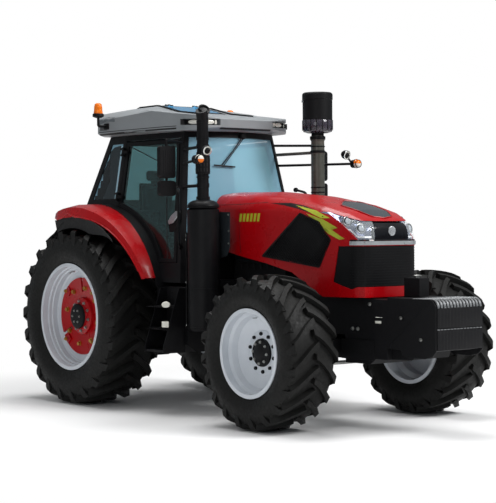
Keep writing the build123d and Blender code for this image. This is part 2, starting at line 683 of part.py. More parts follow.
def cab_floor():
    """Floor plate under the cab's walls, with four mounts on the gearbox."""
    body = extrude(cab_section(CAB_FLOOR_Z, 0), amount=FLOOR_T, dir=(0, 0, -1))
    for drum in arch_cut(ARCH_R):
        body -= drum
    for x, top in ((-250, 1230), (900, 1120)):
        for y in (-150, 60):
            body += box((x, x + 90), (y, y + 90), (top, CAB_FLOOR_Z - FLOOR_T))
    return body


keep("cab_floor", cab_floor())

# roof: plan corners as (x, half width)
ROOF_PLAN = ((-150, 700), (-110, 778), (300, 775), (1000, 716), (1300, 655), (1425, 560), (1480, 300))
ROOF_SIDE = ((-150, 2850), (-160, 3030), (-60, 3100), (130, 3150), (320, 3150), (760, 3045),
             (1200, 2990), (1400, 2968), (1478, 2930), (1470, 2850), (1400, CAB_TOP_Z),
             (-100, CAB_TOP_Z))
ROOF_FRONT = ((700, CAB_TOP_Z), (780, 2850), (778, 3000), (700, 3062), (380, 3125), (180, 3160))
ROOF_LAMP_PLAN = ((1520, 340), (1432, 340), (1390, 535), (1270, 625), (1270, 780), (1520, 780))
ROOF_LAMP_Z = (2868, 2930)


def roof():
    plan = list(ROOF_PLAN) + [(x, -y) for x, y in reversed(ROOF_PLAN)]
    front = list(ROOF_FRONT) + [(-y, z) for y, z in reversed(ROOF_FRONT)]
    body = slab(plan, CAB_TOP_Z, 3300) & plate(ROOF_SIDE, -800, 800)
    body = body & bar(front, -300, 1600)
    pocket = slab(ROOF_LAMP_PLAN, *ROOF_LAMP_Z)
    return body - pocket - mirrored(pocket)


HATCH_X, HATCH_HALF, HATCH_T = (345, 745), 300, 46
HATCH_SWING_GAP = 16   # ahead of the hatch, whose front edge swings forward as it lifts
HATCH_HINGE_R = 9
HATCH_PIN_R = 4
HATCH_HINGE_Y = (150, 180, 182, 212)   # hatch's knuckle, then the roof's


def roof_top(x):
    """Height of the roof's middle line, on its slope over the hatch."""
    (x0, z0), (x1, z1) = ROOF_SIDE[4:6]
    return z0 + (z1 - z0) * (x - x0) / (x1 - x0)


HATCH_HINGE = (HATCH_X[0] - 3, roof_top(HATCH_X[0]) + HATCH_HINGE_R + 1)


def hatch_prism(gap, front_gap, low_z):
    x0, x1 = HATCH_X
    low = [(x0 - gap, low_z(x0)), (x1 + front_gap, low_z(x1))]
    return plate(low + [(x1 + front_gap, 3300), (x0 - gap, 3300)], -HATCH_HALF - gap, HATCH_HALF + gap)


def hatch_hinges(side):
    """The hatch's knuckle and strap, the roof's knuckle and bracket, and the pin."""
    x, z = HATCH_HINGE
    y0, y1, y2, y3 = [side * y for y in HATCH_HINGE_Y]
    r = HATCH_HINGE_R
    moving = rod((x, y0, z), (x, y1, z), r) + box((x, x + 60), (y0, y1), (z - r - 8, z - 2))
    moving -= rod((x, y0 - side, z), (x, y1 + side, z), HATCH_PIN_R + FIT)
    fixed = rod((x, y2, z), (x, y3, z), r) + box((x - 60, x), (y2, y3), (z - r - 8, z - 2))
    fixed += rod((x, y0, z), (x, y2, z), HATCH_PIN_R)
    return moving, fixed


full_roof = roof()
hatch = full_roof & hatch_prism(0, 0, lambda x: roof_top(x) - HATCH_T)
roof_shell = full_roof - hatch_prism(RUN_GAP, HATCH_SWING_GAP, lambda x: CAB_TOP_Z - 20)
for word, side in SIDES:
    moving, fixed = hatch_hinges(side)
    hatch += moving
    roof_shell += fixed
keep("cab_roof", roof_shell)
keep("roof_hatch", hatch)

# ---------------------------------------------------------------- hood
# columns: x, half width, shoulder z, top z
HOOD_STATIONS = (
    (1400, 452, 2010, 2196), (2050, 450, 2000, 2184), (2600, 444, 1975, 2136),
    (3050, 428, 1930, 2056), (3320, 404, 1856, 1986), (3480, 366, 1788, 1914),
    (3552, 318, 1742, 1864), (HOOD_NOSE_X, 250, 1700, 1800))
HOOD_REAR_SLOPE = 205 / 530


def hood_section(x, half, shoulder, top, inset):
    half, shoulder, top = half - inset, shoulder - inset * 0.6, top - inset
    low = HOOD_BOTTOM_Z - (20 if inset else 0)
    drop = (top - shoulder) * 0.30
    corner_y, corner_z = half * 0.88, top - drop - (top - shoulder) * 0.12
    crown_y, crown_z = half * 0.66, top - drop * 0.5
    left = [Line((x, half, low), (x, half, shoulder)),
            ThreePointArc((x, half, shoulder), (x, corner_y, corner_z), (x, crown_y, crown_z)),
            ThreePointArc((x, crown_y, crown_z), (x, 0, top), (x, -crown_y, crown_z)),
            ThreePointArc((x, -crown_y, crown_z), (x, -corner_y, corner_z), (x, -half, shoulder)),
            Line((x, -half, shoulder), (x, -half, low)),
            Line((x, -half, low), (x, half, low))]
    return make_face([e.edge() for e in left])


def hood_solid(inset):
    stations = [(x - (inset if i == len(HOOD_STATIONS) - 1 else 0), *rest)
                for i, (x, *rest) in enumerate(HOOD_STATIONS)]
    return loft([hood_section(*row, inset) for row in stations], ruled=True)


HOOD_LOWER = ((1300, 1640), (1620, 1612), (2020, 1536), (2300, 1490), (2680, 1408), (2820, 1335),
              (3100, HOOD_BOTTOM_Z), (3100, 1000), (1300, 1000))
hood_outer = hood_solid(0)
hood_inner = hood_solid(HOOD_T)
rear_trim = plate([(1300, 1000), (1480 + (2143 - 1000) * HOOD_REAR_SLOPE, 1000),
                   (1480 - 160 * HOOD_REAR_SLOPE, 2303), (1300, 2303)], -600, 600)
lower_trim = plate(HOOD_LOWER, -600, 600)
hood_skin = hood_outer - hood_inner - rear_trim - lower_trim
SIDE_GRILLE = ((2800, 1960), (2255, 1558), (3057, 1463), (3200, 1713), (3050, 1880))
NOSE_GRILLE = ((3300, 1656), (3230, 1330), (3440, 1262), (3500, 1285), (3700, 1285), (3700, 1656))
LAMP_BAND = ((3165, 1965), (3330, 1925), (3480, 1886), (3700, 1866), (3700, 1712), (3500, 1712),
             (3465, 1748), (3325, 1868))
side_grille_prism = plate(SIDE_GRILLE, -600, 600)
nose_grille_prism = plate(NOSE_GRILLE, -600, 600)
lamp_prism = plate(LAMP_BAND, -600, 600)
grille_skin = hood_solid(6) - hood_solid(HOOD_T)
HOOD_HINGE = (1505, 2132)
HOOD_HINGE_R, HOOD_PIN_R = 13, 7
HOOD_HINGE_Y = (150, 190, 192, 232)    # hood's knuckle, then the bracket's
HOOD_POST_X = (1575, 1625)
HOOD_STOP_X = (3520, 3576)


def hood_hinge(side):
    """Knuckle and arm under the hood's skin."""
    x, z = HOOD_HINGE
    y0, y1 = [side * y for y in HOOD_HINGE_Y[:2]]
    arm = plate([(x, z - HOOD_HINGE_R), (x + 90, z + 6), (x + 90, z + 60), (x, z + 60)], y0, y1)
    body = (arm & hood_inner) + rod((x, y0, z), (x, y1, z), HOOD_HINGE_R)
    return body - rod((x, y0 - side, z), (x, y1 + side, z), HOOD_PIN_R + FIT)


def hood_bracket():
    """Two posts on the engine with the hood's hinge pins, and the stop under its nose."""
    x, z = HOOD_HINGE
    back, front = HOOD_POST_X
    body = box(HOOD_POST_X, (-HOOD_HINGE_Y[3], HOOD_HINGE_Y[3]), (ENGINE_TOP_Z, ENGINE_TOP_Z + 60))
    for side in (1, -1):
        y0, y1, y2, y3 = [side * y for y in HOOD_HINGE_Y]
        outline = [(back, ENGINE_TOP_Z), (front, ENGINE_TOP_Z), (front, z - 60), (x + 8, z + 9),
                   (x - 8, z + 9), (x - 13, z), (back, z - 70)]
        body += plate(outline, y2, y3)
        body += rod((x, y0, z), (x, y2, z), HOOD_PIN_R)
    stop = box(HOOD_STOP_X, (-60, 60), (FRAME_TOP_Z, HOOD_BOTTOM_Z - SEAT))
    return group([body, stop])


hood_shell = hood_skin - side_grille_prism - nose_grille_prism - lamp_prism
for side in (1, -1):
    hood_shell += hood_hinge(side)
keep("hood_shell", hood_shell)
keep("hood_bracket", hood_bracket())
keep("hood_grilles", group([grille_skin & side_grille_prism, grille_skin & nose_grille_prism]))
keep("headlights", grille_skin & lamp_prism)

# ---------------------------------------------------------------- painted wings
# columns: angle from the front about the rear axle, lip half width, lip radius
WING_TABLE = ((21, 1040, 1140), (35, 1075, 1118), (55, 1130, 1090), (75, 1190, 1058),
              (93, 1215, 1038), (105, 1195, 1056), (111, 1150, 1105))
WING_STEP = 6
WING_R = ARCH_R - SEAT


def wing_row(angle):
    """Lip half width and lip radius at one angle, read between the table's rows."""
    for low, high in zip(WING_TABLE, WING_TABLE[1:]):
        if low[0] <= angle <= high[0]:
            share = (angle - low[0]) / (high[0] - low[0])
            return [a + (b - a) * share for a, b in zip(low[1:], high[1:])]


def wing():
    """Painted wing: ring sections about the rear axle, from the crown to the lip."""
    first, last = WING_TABLE[0][0], WING_TABLE[-1][0]
    outlines = []
    for angle in range(first, last + 1, WING_STEP):
        lip_y, lip_r = wing_row(angle)
        width, drop = lip_y - WING_INNER_Y, WING_R - lip_r
        edge = [(WING_R, WING_INNER_Y), (WING_R - 4, WING_INNER_Y + 0.5 * width),
                (WING_R - 0.25 * drop, lip_y - 24), (lip_r, lip_y)]
        under = [(WING_R - FENDER_T, WING_INNER_Y),
                 (WING_R - 4 - FENDER_T, WING_INNER_Y + 0.5 * width - 4),
                 (WING_R - 0.25 * drop - FENDER_T, lip_y - 24 - FENDER_T),
                 (lip_r, lip_y - FENDER_T)]
        c, s = cos(radians(angle)), sin(radians(angle))
        outlines.append([(r * c, y, REAR_Z + r * s) for r, y in edge + under[::-1]])
    return loft([make_face(Polyline(*points, close=True)) for points in outlines], ruled=True)


keep("rear_fenders", both(wing()))

# ---------------------------------------------------------------- inside the cab
SEAT_X = 150           # middle of the seat's cushion
CUSHION_TOP_Z = 1830
WHEEL_TILT = 32        # steering wheel's slope
WHEEL_R = 205
WHEEL_RIM_R = 16
WHEEL_HUB = (800, 0, 2000)
COLUMN_R = 34


def seat():
    x = SEAT_X
    body = box((x - 190, x + 190), (-190, 190), (CAB_FLOOR_Z, CUSHION_TOP_Z - 120))
    body += fillet(box((x - 250, x + 270), (-255, 255),
                       (CUSHION_TOP_Z - 120, CUSHION_TOP_Z)).edges().filter_by(Axis.Z), 50)
    back = [(x - 330, CUSHION_TOP_Z - 60), (x - 190, CUSHION_TOP_Z - 60), (x - 250, 2330),
            (x - 240, 2490), (x - 312, 2490), (x - 345, 2330)]
    body += plate(back, -235, 235) - box((x - 500, x), (-400, -125), (2350, 2600)) - box(
        (x - 500, x), (125, 400), (2350, 2600))
    body += box((x - 100, x + 300), (-385, -285), (CUSHION_TOP_Z + 130, CUSHION_TOP_Z + 200))
    body += box((x - 130, x + 240), (-400, -255), (CAB_FLOOR_Z, CUSHION_TOP_Z + 130))
    return body


def wheel_axis(distance):
    """Point on the steering column's line, measured from the wheel's hub."""
    tilt = radians(WHEEL_TILT)
    x, y, z = WHEEL_HUB
    return (x + distance * sin(tilt), y, z - distance * cos(tilt))


def dashboard():
    """Console with the instrument hood, and the column tube that holds the wheel's shaft."""
    outline = [(1010, CAB_FLOOR_Z), (1330, CAB_FLOOR_Z), (1260, 1960), (1170, 2010),
               (980, 1960), (960, 1900), (1080, 1800)]
    body = plate(outline, -210, 210)
    tube = rod(wheel_axis(60), wheel_axis(500), COLUMN_R + 14)
    return body + tube - rod(wheel_axis(50), wheel_axis(170), COLUMN_R + FIT)


def steering_wheel():
    tilt = Rot(0, -WHEEL_TILT, 0)
    flat = Torus(WHEEL_R, WHEEL_RIM_R) + Cylinder(58, 46) + Pos(0, 0, -60) * Cylinder(COLUMN_R, 120)
    for turn in (90, 180, 270):
        flat += Rot(0, 0, turn) * Pos(WHEEL_R / 2, 0, -6) * Box(WHEEL_R - 20, 34, 14)
    flat -= Pos(0, 0, -220) * Box(400, 400, 200)
    return Pos(*WHEEL_HUB) * tilt * flat


keep("seat", seat())
keep("dashboard", dashboard())
keep("steering_wheel", steering_wheel())

# ---------------------------------------------------------------- tank, boxes and steps
TANK_X = (1030, 1640)
BOX_X = (1030, 1540)
STEP_Y = (830, 1090)
STEP_X = (1180, 1500)
STEP_TREAD_Z = (615, 830, 1045)


def side_tank(x0, x1):
    outline = [(TANK_INNER_Y, 1240), (TANK_INNER_Y, 660), (420, 605), (720, 605), (STEP_Y[0] - 5, 680),
               (STEP_Y[0] - 5, 1240)]
    return bar(outline, x0, x1)


def steps():
    """Three treads between two side plates, hung on the tank's face."""
    y0, y1 = STEP_Y[0] - 5, STEP_Y[1]
    body = None
    for x in (STEP_X[0], STEP_X[1] - 10):
        cheek = slab([(x, y0), (x + 10, y0), (x + 10, y1), (x, y1)], STEP_TREAD_Z[0] - 10, 1240)
        cheek = cheek & bar([(y0, 1240), (y0, 540), (y1, 540), (y1, 665), (y0 + 70, 1240)], 0, 3000)
        body = cheek if body is None else body + cheek
    for i, z in enumerate(STEP_TREAD_Z):
        body += box((STEP_X[0], STEP_X[1]), (y0, y1 - 8 - 66 * i), (z, z + 22))
    return body


keep("fuel_tank", side_tank(*TANK_X))
keep("battery_box", mirrored(side_tank(*BOX_X)))
keep("cab_steps", both(steps()))

# ---------------------------------------------------------------- exhaust and intake
EXHAUST = (1712, -750)
CAN_R, CAN_LOW_Z, CAN_TOP_Z = 158, 825, 2050
STACK_R, STACK_TOP_Z = 57, 2900
INTAKE = (1857, 620)
INTAKE_R, INTAKE_TOP_Z, INTAKE_LOW_Z = 68, 2770, 1200
BOWL_R, BOWL_LOW_Z, BOWL_TOP_Z = 157, 2815, 3215


def exhaust_canister():
    x, y = EXHAUST
    profile = [(0, CAN_LOW_Z), (CAN_R - 20, CAN_LOW_Z), (CAN_R, CAN_LOW_Z + 20),
               (CAN_R, CAN_TOP_Z - 40), (CAN_R - 44, CAN_TOP_Z), (0, CAN_TOP_Z)]
    face = make_face(Polyline(*[(r, 0, z) for r, z in profile], close=True))
    body = Pos(x, y, 0) * revolve(face, Axis.Z, 360)
    for z in (980, 1260):
        body += box((x - 50, x + 50), (y + CAN_R / 2, -ENGINE_HALF), (z, z + 60))
    return body


def exhaust_stack():
    """Pipe above the canister with a turned-out tip, stayed from the cab's front pillar."""
    x, y = EXHAUST
    body = tube_run([(x, y, CAN_TOP_Z), (x, y, STACK_TOP_Z), (x + 34, y - 40, STACK_TOP_Z + 80)],
                    STACK_R)
    for z in (2250, 2630):
        body += Pos(x, y, z) * Cylinder(STACK_R + 7, 40)
        ax, ay = a_line(z)
        body += rod((ax - 20, -ay + 20, z), (x, y, z), 16) - outer_cab
    return body


def intake_pipe():
    """Pipe from the engine's side up past the hood, stayed from the cab's front pillar."""
    x, y = INTAKE
    body = tube_run([(x, ENGINE_HALF, INTAKE_LOW_Z), (x, y, INTAKE_LOW_Z), (x, y, INTAKE_TOP_Z)],
                    INTAKE_R)
    for z in (2600, 2740):
        body += Pos(x, y, z) * Cylinder(INTAKE_R + 6, 34)
    ax, ay = a_line(2600)
    return body + (rod((ax - 20, ay - 20, 2600), (x, y, 2600), 16) - outer_cab)


def precleaner():
    x, y = INTAKE
    profile = [(0, INTAKE_TOP_Z), (INTAKE_R - 4, INTAKE_TOP_Z), (INTAKE_R - 4, BOWL_LOW_Z),
               (BOWL_R - 30, BOWL_LOW_Z), (BOWL_R - 4, BOWL_LOW_Z + 34),
               (BOWL_R - 4, BOWL_TOP_Z - 78), (BOWL_R, BOWL_TOP_Z - 74), (BOWL_R, BOWL_TOP_Z - 24),
               (BOWL_R - 26, BOWL_TOP_Z - 6), (0, BOWL_TOP_Z)]
    face = make_face(Polyline(*[(r, 0, z) for r, z in profile], close=True))
    return Pos(x, y, 0) * revolve(face, Axis.Z, 360)


keep("exhaust", group([exhaust_canister(), exhaust_stack()]))
keep("intake_pipe", intake_pipe())
keep("precleaner", precleaner())

# ---------------------------------------------------------------- mirrors and lamps
MIRROR_X, MIRROR_Y = 1450, 1000
LAMP_X, LAMP_Y, LAMP_Z = 2000, 1022, 2487
BEACON_X, BEACON_Y, BEACON_TOP_Z = 62, 885, 3165


def mirror_side():
    ax, ay = a_line(2700)
    body = tube_run([(ax - 20, ay - 20, 2700), (MIRROR_X, MIRROR_Y, 2700),
                     (MIRROR_X, MIRROR_Y, 2150)], 13)
    body -= outer_cab
    for low, high in ((2325, 2640), (2150, 2300)):
        shell = box((MIRROR_X - 28, MIRROR_X + 28), (MIRROR_Y - 92, MIRROR_Y + 92), (low, high))
        body += fillet(shell.edges().filter_by(Axis.X), 30)
    return body


def lamp_side():
    ax, ay = a_line(LAMP_Z)
    body = tube_run([(ax - 20, ay - 20, LAMP_Z), (LAMP_X - 30, LAMP_Y - 30, LAMP_Z)], 13)
    body -= outer_cab
    body += rod((LAMP_X - 50, LAMP_Y, LAMP_Z), (LAMP_X + 40, LAMP_Y, LAMP_Z), 42)
    body += rod((LAMP_X - 30, LAMP_Y - 30, LAMP_Z), (LAMP_X - 30, LAMP_Y - 110, LAMP_Z + 90), 10)
    return body + Pos(LAMP_X - 30, LAMP_Y - 120, LAMP_Z + 92) * Sphere(40)


def beacon_side():
    body = box((BEACON_X - 60, BEACON_X + 60), (760, BEACON_Y), (2900, 2922))
    body = body - (full_roof)
    body += rod((BEACON_X, BEACON_Y, 2900), (BEACON_X, BEACON_Y, BEACON_TOP_Z - 150), 22)
    profile = [(0, BEACON_TOP_Z - 150), (56, BEACON_TOP_Z - 150), (56, BEACON_TOP_Z - 120),
               (46, BEACON_TOP_Z - 40), (26, BEACON_TOP_Z), (0, BEACON_TOP_Z)]
    face = make_face(Polyline(*[(r, 0, z) for r, z in profile], close=True))
    return body + Pos(BEACON_X, BEACON_Y, 0) * revolve(face, Axis.Z, 360)


def rear_lamp():
    """Lamp on the outside of the wall behind the cab."""
    return box((LAMP_WALL_X - 15, LAMP_WALL_X + 45), (INNER_WALL_Y, INNER_WALL_Y + 170),
               (LAMP_WALL_Z + 20, LAMP_WALL_Z + 110))


keep("mirrors", both(mirror_side()))
keep("front_lamps", both(lamp_side()))
keep("beacons", both(beacon_side()))
keep("rear_lamps", both(rear_lamp()))

# ---------------------------------------------------------------- rear linkage
def lift_arms():
    """Rockshaft through the lift housing with an arm and a pin at each end."""
    (x, z), (tx, tz) = ROCKSHAFT, LIFT_ARM_TIP
    body = rod((x, -LIFT_ARM_Y[1], z), (x, LIFT_ARM_Y[1], z), ROCKSHAFT_R)
    outline = [(x + 70, z - 60), (x + 70, z + 60), (x, z + 85), (tx - 34, tz + 34),
               (tx - 34, tz - 34), (x, z - 85)]
    for y0, y1 in (LIFT_ARM_Y, (-LIFT_ARM_Y[1], -LIFT_ARM_Y[0])):
        body += plate(outline, y0, y1)
    for side in (1, -1):
        body += rod((tx, side * LIFT_ARM_Y[1], tz), (tx, side * (LIFT_ROD_Y[1] + 8), tz), LIFT_PIN_R)
    return body


def lift_rod():
    (tx, tz), (lx, lz) = LIFT_ARM_TIP, LINK_LIFT
    y0, y1 = LIFT_ROD_Y
    mid = (y0 + y1) / 2
    body = rod((tx, y0, tz), (tx, y1, tz), 34) + rod((lx, y0, lz), (lx, y1, lz), 34)
    body += rod((tx, mid, tz - 30), (lx, mid, lz + 30), 16)
    return body - rod((tx, y0 - 5, tz), (tx, y1 + 5, tz), LIFT_PIN_R + FIT)


def lower_link():
    """Lower link with a forged bend, its front eye and its rear ball eye."""
    half = LINK_T / 2
    plan = [(x, y - half) for x, y in LINK_PLAN] + [(x, y + half) for x, y in reversed(LINK_PLAN)]
    side = [(LINK_PIVOT[0], LINK_PIVOT[1] - 40), (LINK_PIVOT[0], LINK_PIVOT[1] + 40),
            (LINK_LIFT[0], LINK_LIFT[1] + 44), (LINK_END[0], LINK_END[1] + 40),
            (LINK_END[0], LINK_END[1] - 40), (LINK_LIFT[0], LINK_LIFT[1] - 44)]
    body = slab(plan, 400, 900) & plate(side, 0, 700)
    eye_y, ball_y = LINK_PLAN[0][1], LINK_PLAN[-1][1]
    body += rod((LINK_PIVOT[0], eye_y - half, LINK_PIVOT[1]),
                (LINK_PIVOT[0], eye_y + half, LINK_PIVOT[1]), 46)
    body += rod((LINK_LIFT[0], LIFT_ROD_Y[1] + RUN_GAP, LINK_LIFT[1]),
                (LINK_LIFT[0], LINK_PLAN[1][1], LINK_LIFT[1]), 30)
    body += rod((LINK_END[0], ball_y - half - 6, LINK_END[1]),
                (LINK_END[0], ball_y + half + 6, LINK_END[1]), 52)
    body -= rod((LINK_PIVOT[0], eye_y - 60, LINK_PIVOT[1]),
                (LINK_PIVOT[0], eye_y + 60, LINK_PIVOT[1]), LINK_PIVOT_R + FIT)
    return body - rod((LINK_END[0], ball_y - 60, LINK_END[1]),
                      (LINK_END[0], ball_y + 60, LINK_END[1]), BALL_BORE_R)


def top_link():
    (x, z), (tx, tz) = TOP_LINK_PIVOT, TOP_LINK_TIP
    body = rod((x, 0, z + 20), (tx, 0, tz - 20), 22) + rod(
        (x * 0.75 + tx * 0.25, 0, z * 0.75 + tz * 0.25), (x * 0.25 + tx * 0.75, 0, z * 0.25 + tz * 0.75), 31)
    for px, pz in (TOP_LINK_PIVOT, TOP_LINK_TIP):
        body += rod((px, -22, pz), (px, 22, pz), 40)
        body -= rod((px, -40, pz), (px, 40, pz), TOP_PIN_R + FIT)
    return body


def rear_cover():
    """Rear cover with the top link's clevis and the guard over the power shaft."""
    x0 = HOUSING_REAR_X
    body = box((x0 - 24, x0), (-190, 190), (600, 1180))
    px, pz = TOP_LINK_PIVOT
    for y0, y1 in ((-46, -28), (28, 46)):
        body += plate([(x0 - 24, pz - 70), (px - 34, pz - 34), (px - 34, pz + 34), (x0 - 24, pz + 70)],
                      y0, y1)
    body += rod((px, -60, pz), (px, 60, pz), TOP_PIN_R)
    guard = box((x0 - 150, x0 - 24), (-120, 120), (PTO_Z + 90, PTO_Z + 100))
    for y0, y1 in ((-120, -112), (112, 120)):
        guard += box((x0 - 150, x0 - 24), (y0, y1), (PTO_Z - 40, PTO_Z + 100))
    body += guard
    return body - rod((x0 - 30, 0, PTO_Z), (x0 + 5, 0, PTO_Z), PTO_R + FIT)


def drawbar():
    z0, z1 = DRAWBAR_Z
    body = box(DRAWBAR_X, (-45, 45), DRAWBAR_Z)
    body = fillet(body.edges().filter_by(Axis.Z).group_by(Axis.X)[0], 44)
    body -= rod((DRAWBAR_PIN_X, 0, z0 - 5), (DRAWBAR_PIN_X, 0, z1 + 5), DRAWBAR_PIN_R)
    for x in (-400, -160):
        body += box((x, x + 60), (-130, 130), (z1, 560)) - transmission_body
        body += box((x, x + 60), (-130, 130), (z0 - 16, z0))
        for y0, y1 in ((-130, -60), (60, 130)):
            body += box((x, x + 60), (y0, y1), (z0, z1))
    return body


def pto_shaft():
    x0 = HOUSING_REAR_X
    return rod((x0 - 110, 0, PTO_Z), (x0 + 70, 0, PTO_Z), PTO_R)


keep("lift_arms", lift_arms())
keep("lift_rods", both(lift_rod()))
keep("lower_links", both(lower_link()))
keep("top_link", top_link())
keep("rear_cover", rear_cover())
keep("pto_shaft", pto_shaft())
keep("drawbar", drawbar())

# ---------------------------------------------------------------- write
os.makedirs("parts", exist_ok=True)
for name, shape in PARTS.items():
    export_step(Pos(-ORIGIN_X, 0, 0) * shape, f"parts/{name}.step")
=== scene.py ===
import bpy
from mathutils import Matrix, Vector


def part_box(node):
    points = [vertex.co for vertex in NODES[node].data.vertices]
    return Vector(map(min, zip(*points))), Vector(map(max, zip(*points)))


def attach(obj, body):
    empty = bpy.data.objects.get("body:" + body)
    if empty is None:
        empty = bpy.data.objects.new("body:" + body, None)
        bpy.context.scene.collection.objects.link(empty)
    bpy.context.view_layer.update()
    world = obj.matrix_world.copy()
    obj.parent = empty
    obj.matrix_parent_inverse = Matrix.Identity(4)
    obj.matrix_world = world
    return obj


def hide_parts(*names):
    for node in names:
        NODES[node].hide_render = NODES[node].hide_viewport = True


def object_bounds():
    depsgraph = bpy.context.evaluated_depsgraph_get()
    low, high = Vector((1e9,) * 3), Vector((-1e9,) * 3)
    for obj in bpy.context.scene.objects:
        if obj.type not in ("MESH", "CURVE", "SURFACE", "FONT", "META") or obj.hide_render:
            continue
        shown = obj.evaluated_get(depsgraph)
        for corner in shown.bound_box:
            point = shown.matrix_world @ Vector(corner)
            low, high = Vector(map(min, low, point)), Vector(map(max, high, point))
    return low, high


bl_info = {
    "name": "Farm Tractor",
    "version": (1, 0, 0),
    "blender": (4, 5, 0),
    "location": "View3D > Sidebar > Tractor",
    "description": "Finishes and small pieces of a four-wheel-drive farm tractor",
    "category": "Object",
}

from math import atan2, cos, hypot, pi, radians, sin

import bmesh
import bpy
from bpy.props import (FloatProperty, FloatVectorProperty, IntProperty, PointerProperty,
                       StringProperty)
from mathutils import Matrix, Quaternion, Vector
from mathutils.bvhtree import BVHTree

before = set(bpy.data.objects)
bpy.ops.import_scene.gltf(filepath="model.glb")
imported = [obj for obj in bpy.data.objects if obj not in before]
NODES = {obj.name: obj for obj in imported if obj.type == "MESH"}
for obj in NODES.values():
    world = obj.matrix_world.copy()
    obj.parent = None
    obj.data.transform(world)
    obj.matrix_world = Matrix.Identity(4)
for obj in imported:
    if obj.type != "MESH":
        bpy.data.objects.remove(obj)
CAD_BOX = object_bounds()
CHASSIS = "chassis"
AXLE_HEIGHT = 916          # rear axle over the ground, mm
STACK = (1712, -750)       # middle of the silencer and its pipe, mm
INTAKE = (1857, 620)       # middle of the intake pipe, mm
OUTSIDE = 1500             # a distance from the middle plane that is clear of every side, mm
SEAL_REACH = 1.24          # the door's rubber stays this far from the rear axle, m
WING_REACH = 1.75          # no point of a wing is this far from the rear axle, m
SIDES = (("left", 1), ("right", -1))


# ------------------------------------------------------------------ colours and materials
def linear(hex_colour):
    """Linear RGBA of an sRGB hex colour."""
    channels = [int(hex_colour[i:i + 2], 16) / 255 for i in (1, 3, 5)]
    return (*[c / 12.92 if c <= 0.04045 else ((c + 0.055) / 1.055) ** 2.4 for c in channels], 1)


def add(tree, kind, links=None, **settings):
    """Add a node, with its properties set by name and its inputs linked."""
    made = tree.nodes.new(kind)
    for name, value in settings.items():
        setattr(made, name, value)
    for name, socket in (links or {}).items():
        tree.links.new(socket, made.inputs[name])
    return made


def finish(name, **shader):
    """New material with a Principled surface; shader gives its constant inputs."""
    material = bpy.data.materials.new(name)
    material.use_nodes = True
    tree = material.node_tree
    surface = tree.nodes["Principled BSDF"]
    for key, value in shader.items():
        surface.inputs[key.replace("_", " ").title().replace("Ior", "IOR")].default_value = value
    return tree, surface


def object_space(tree, millimetres):
    """Object coordinates scaled so that one unit of a pattern is that many millimetres."""
    place = add(tree, "ShaderNodeTexCoord")
    scaled = add(tree, "ShaderNodeVectorMath", {0: place.outputs["Object"]}, operation="SCALE")
    scaled.inputs["Scale"].default_value = 1000 / millimetres
    return scaled.outputs["Vector"]


def blended(tree, factor, first, second):
    """Colour between two hex colours or sockets."""
    mix = add(tree, "ShaderNodeMix", {"Factor": factor}, data_type="RGBA")
    for socket, given in ((mix.inputs[6], first), (mix.inputs[7], second)):
        if isinstance(given, str):
            socket.default_value = linear(given)
        else:
            tree.links.new(given, socket)
    return mix.outputs[2]


def mottled(tree, surface, low, high, millimetres, socket="Base Color"):
    """Slow noise between two colours, or two numbers, on one input."""
    noise = add(tree, "ShaderNodeTexNoise", {"Vector": object_space(tree, millimetres)})
    noise.inputs["Scale"].default_value = 1.0
    noise.inputs["Detail"].default_value = 4.0
    if isinstance(low, str):
        result = blended(tree, noise.outputs["Fac"], low, high)
    else:
        ranged = add(tree, "ShaderNodeMapRange", {"Value": noise.outputs["Fac"]})
        for label, value in (("From Min", 0.3), ("From Max", 0.7), ("To Min", low),
                ("To Max", high)):
            ranged.inputs[label].default_value = value
        result = ranged.outputs["Result"]
    tree.links.new(result, surface.inputs[socket])


# ------------------------------------------------------------------ places
def mean(low, high):
    return (low + high) / 2


REAR_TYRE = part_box("rear_left_tyre")
ORIGIN = Vector((mean(REAR_TYRE[0][0], REAR_TYRE[1][0]), 0, CAD_BOX[0][2]))


def spot(x, y, z):
    """Point given in millimetres from the ground under the rear axle."""
    return ORIGIN + Vector((x, y, z)) / 1000


def station(x):
    """Place along the machine of a distance in millimetres ahead of the rear axle."""
    return spot(x, 0, 0).x


def level(z):
    """Height of a distance in millimetres above the ground."""
    return spot(0, 0, z).z


def sided(side, a, b):
    """Two distances from the middle plane on one side, low first."""
    return sorted((side * a, side * b))


def skin(*nodes):
    """Search tree of the outer surface of CAD nodes."""
    verts, faces = [], []
    for name in nodes:
        mesh = NODES[name].data
        start = len(verts)
        verts += [v.co.copy() for v in mesh.vertices]
        faces += [tuple(i + start for i in face.vertices) for face in mesh.polygons]
    return BVHTree.FromPolygons(verts, faces)


def laid(tree, start, direction):
    """Where a ray meets a surface, with the surface's outward direction there."""
    direction = Vector(direction).normalized()
    hit, normal, _, _ = tree.ray_cast(start, direction)
    if hit is None:
        hit, normal, _, _ = tree.find_nearest(start + direction)
    return hit, (-normal if normal.dot(direction) > 0 else normal)


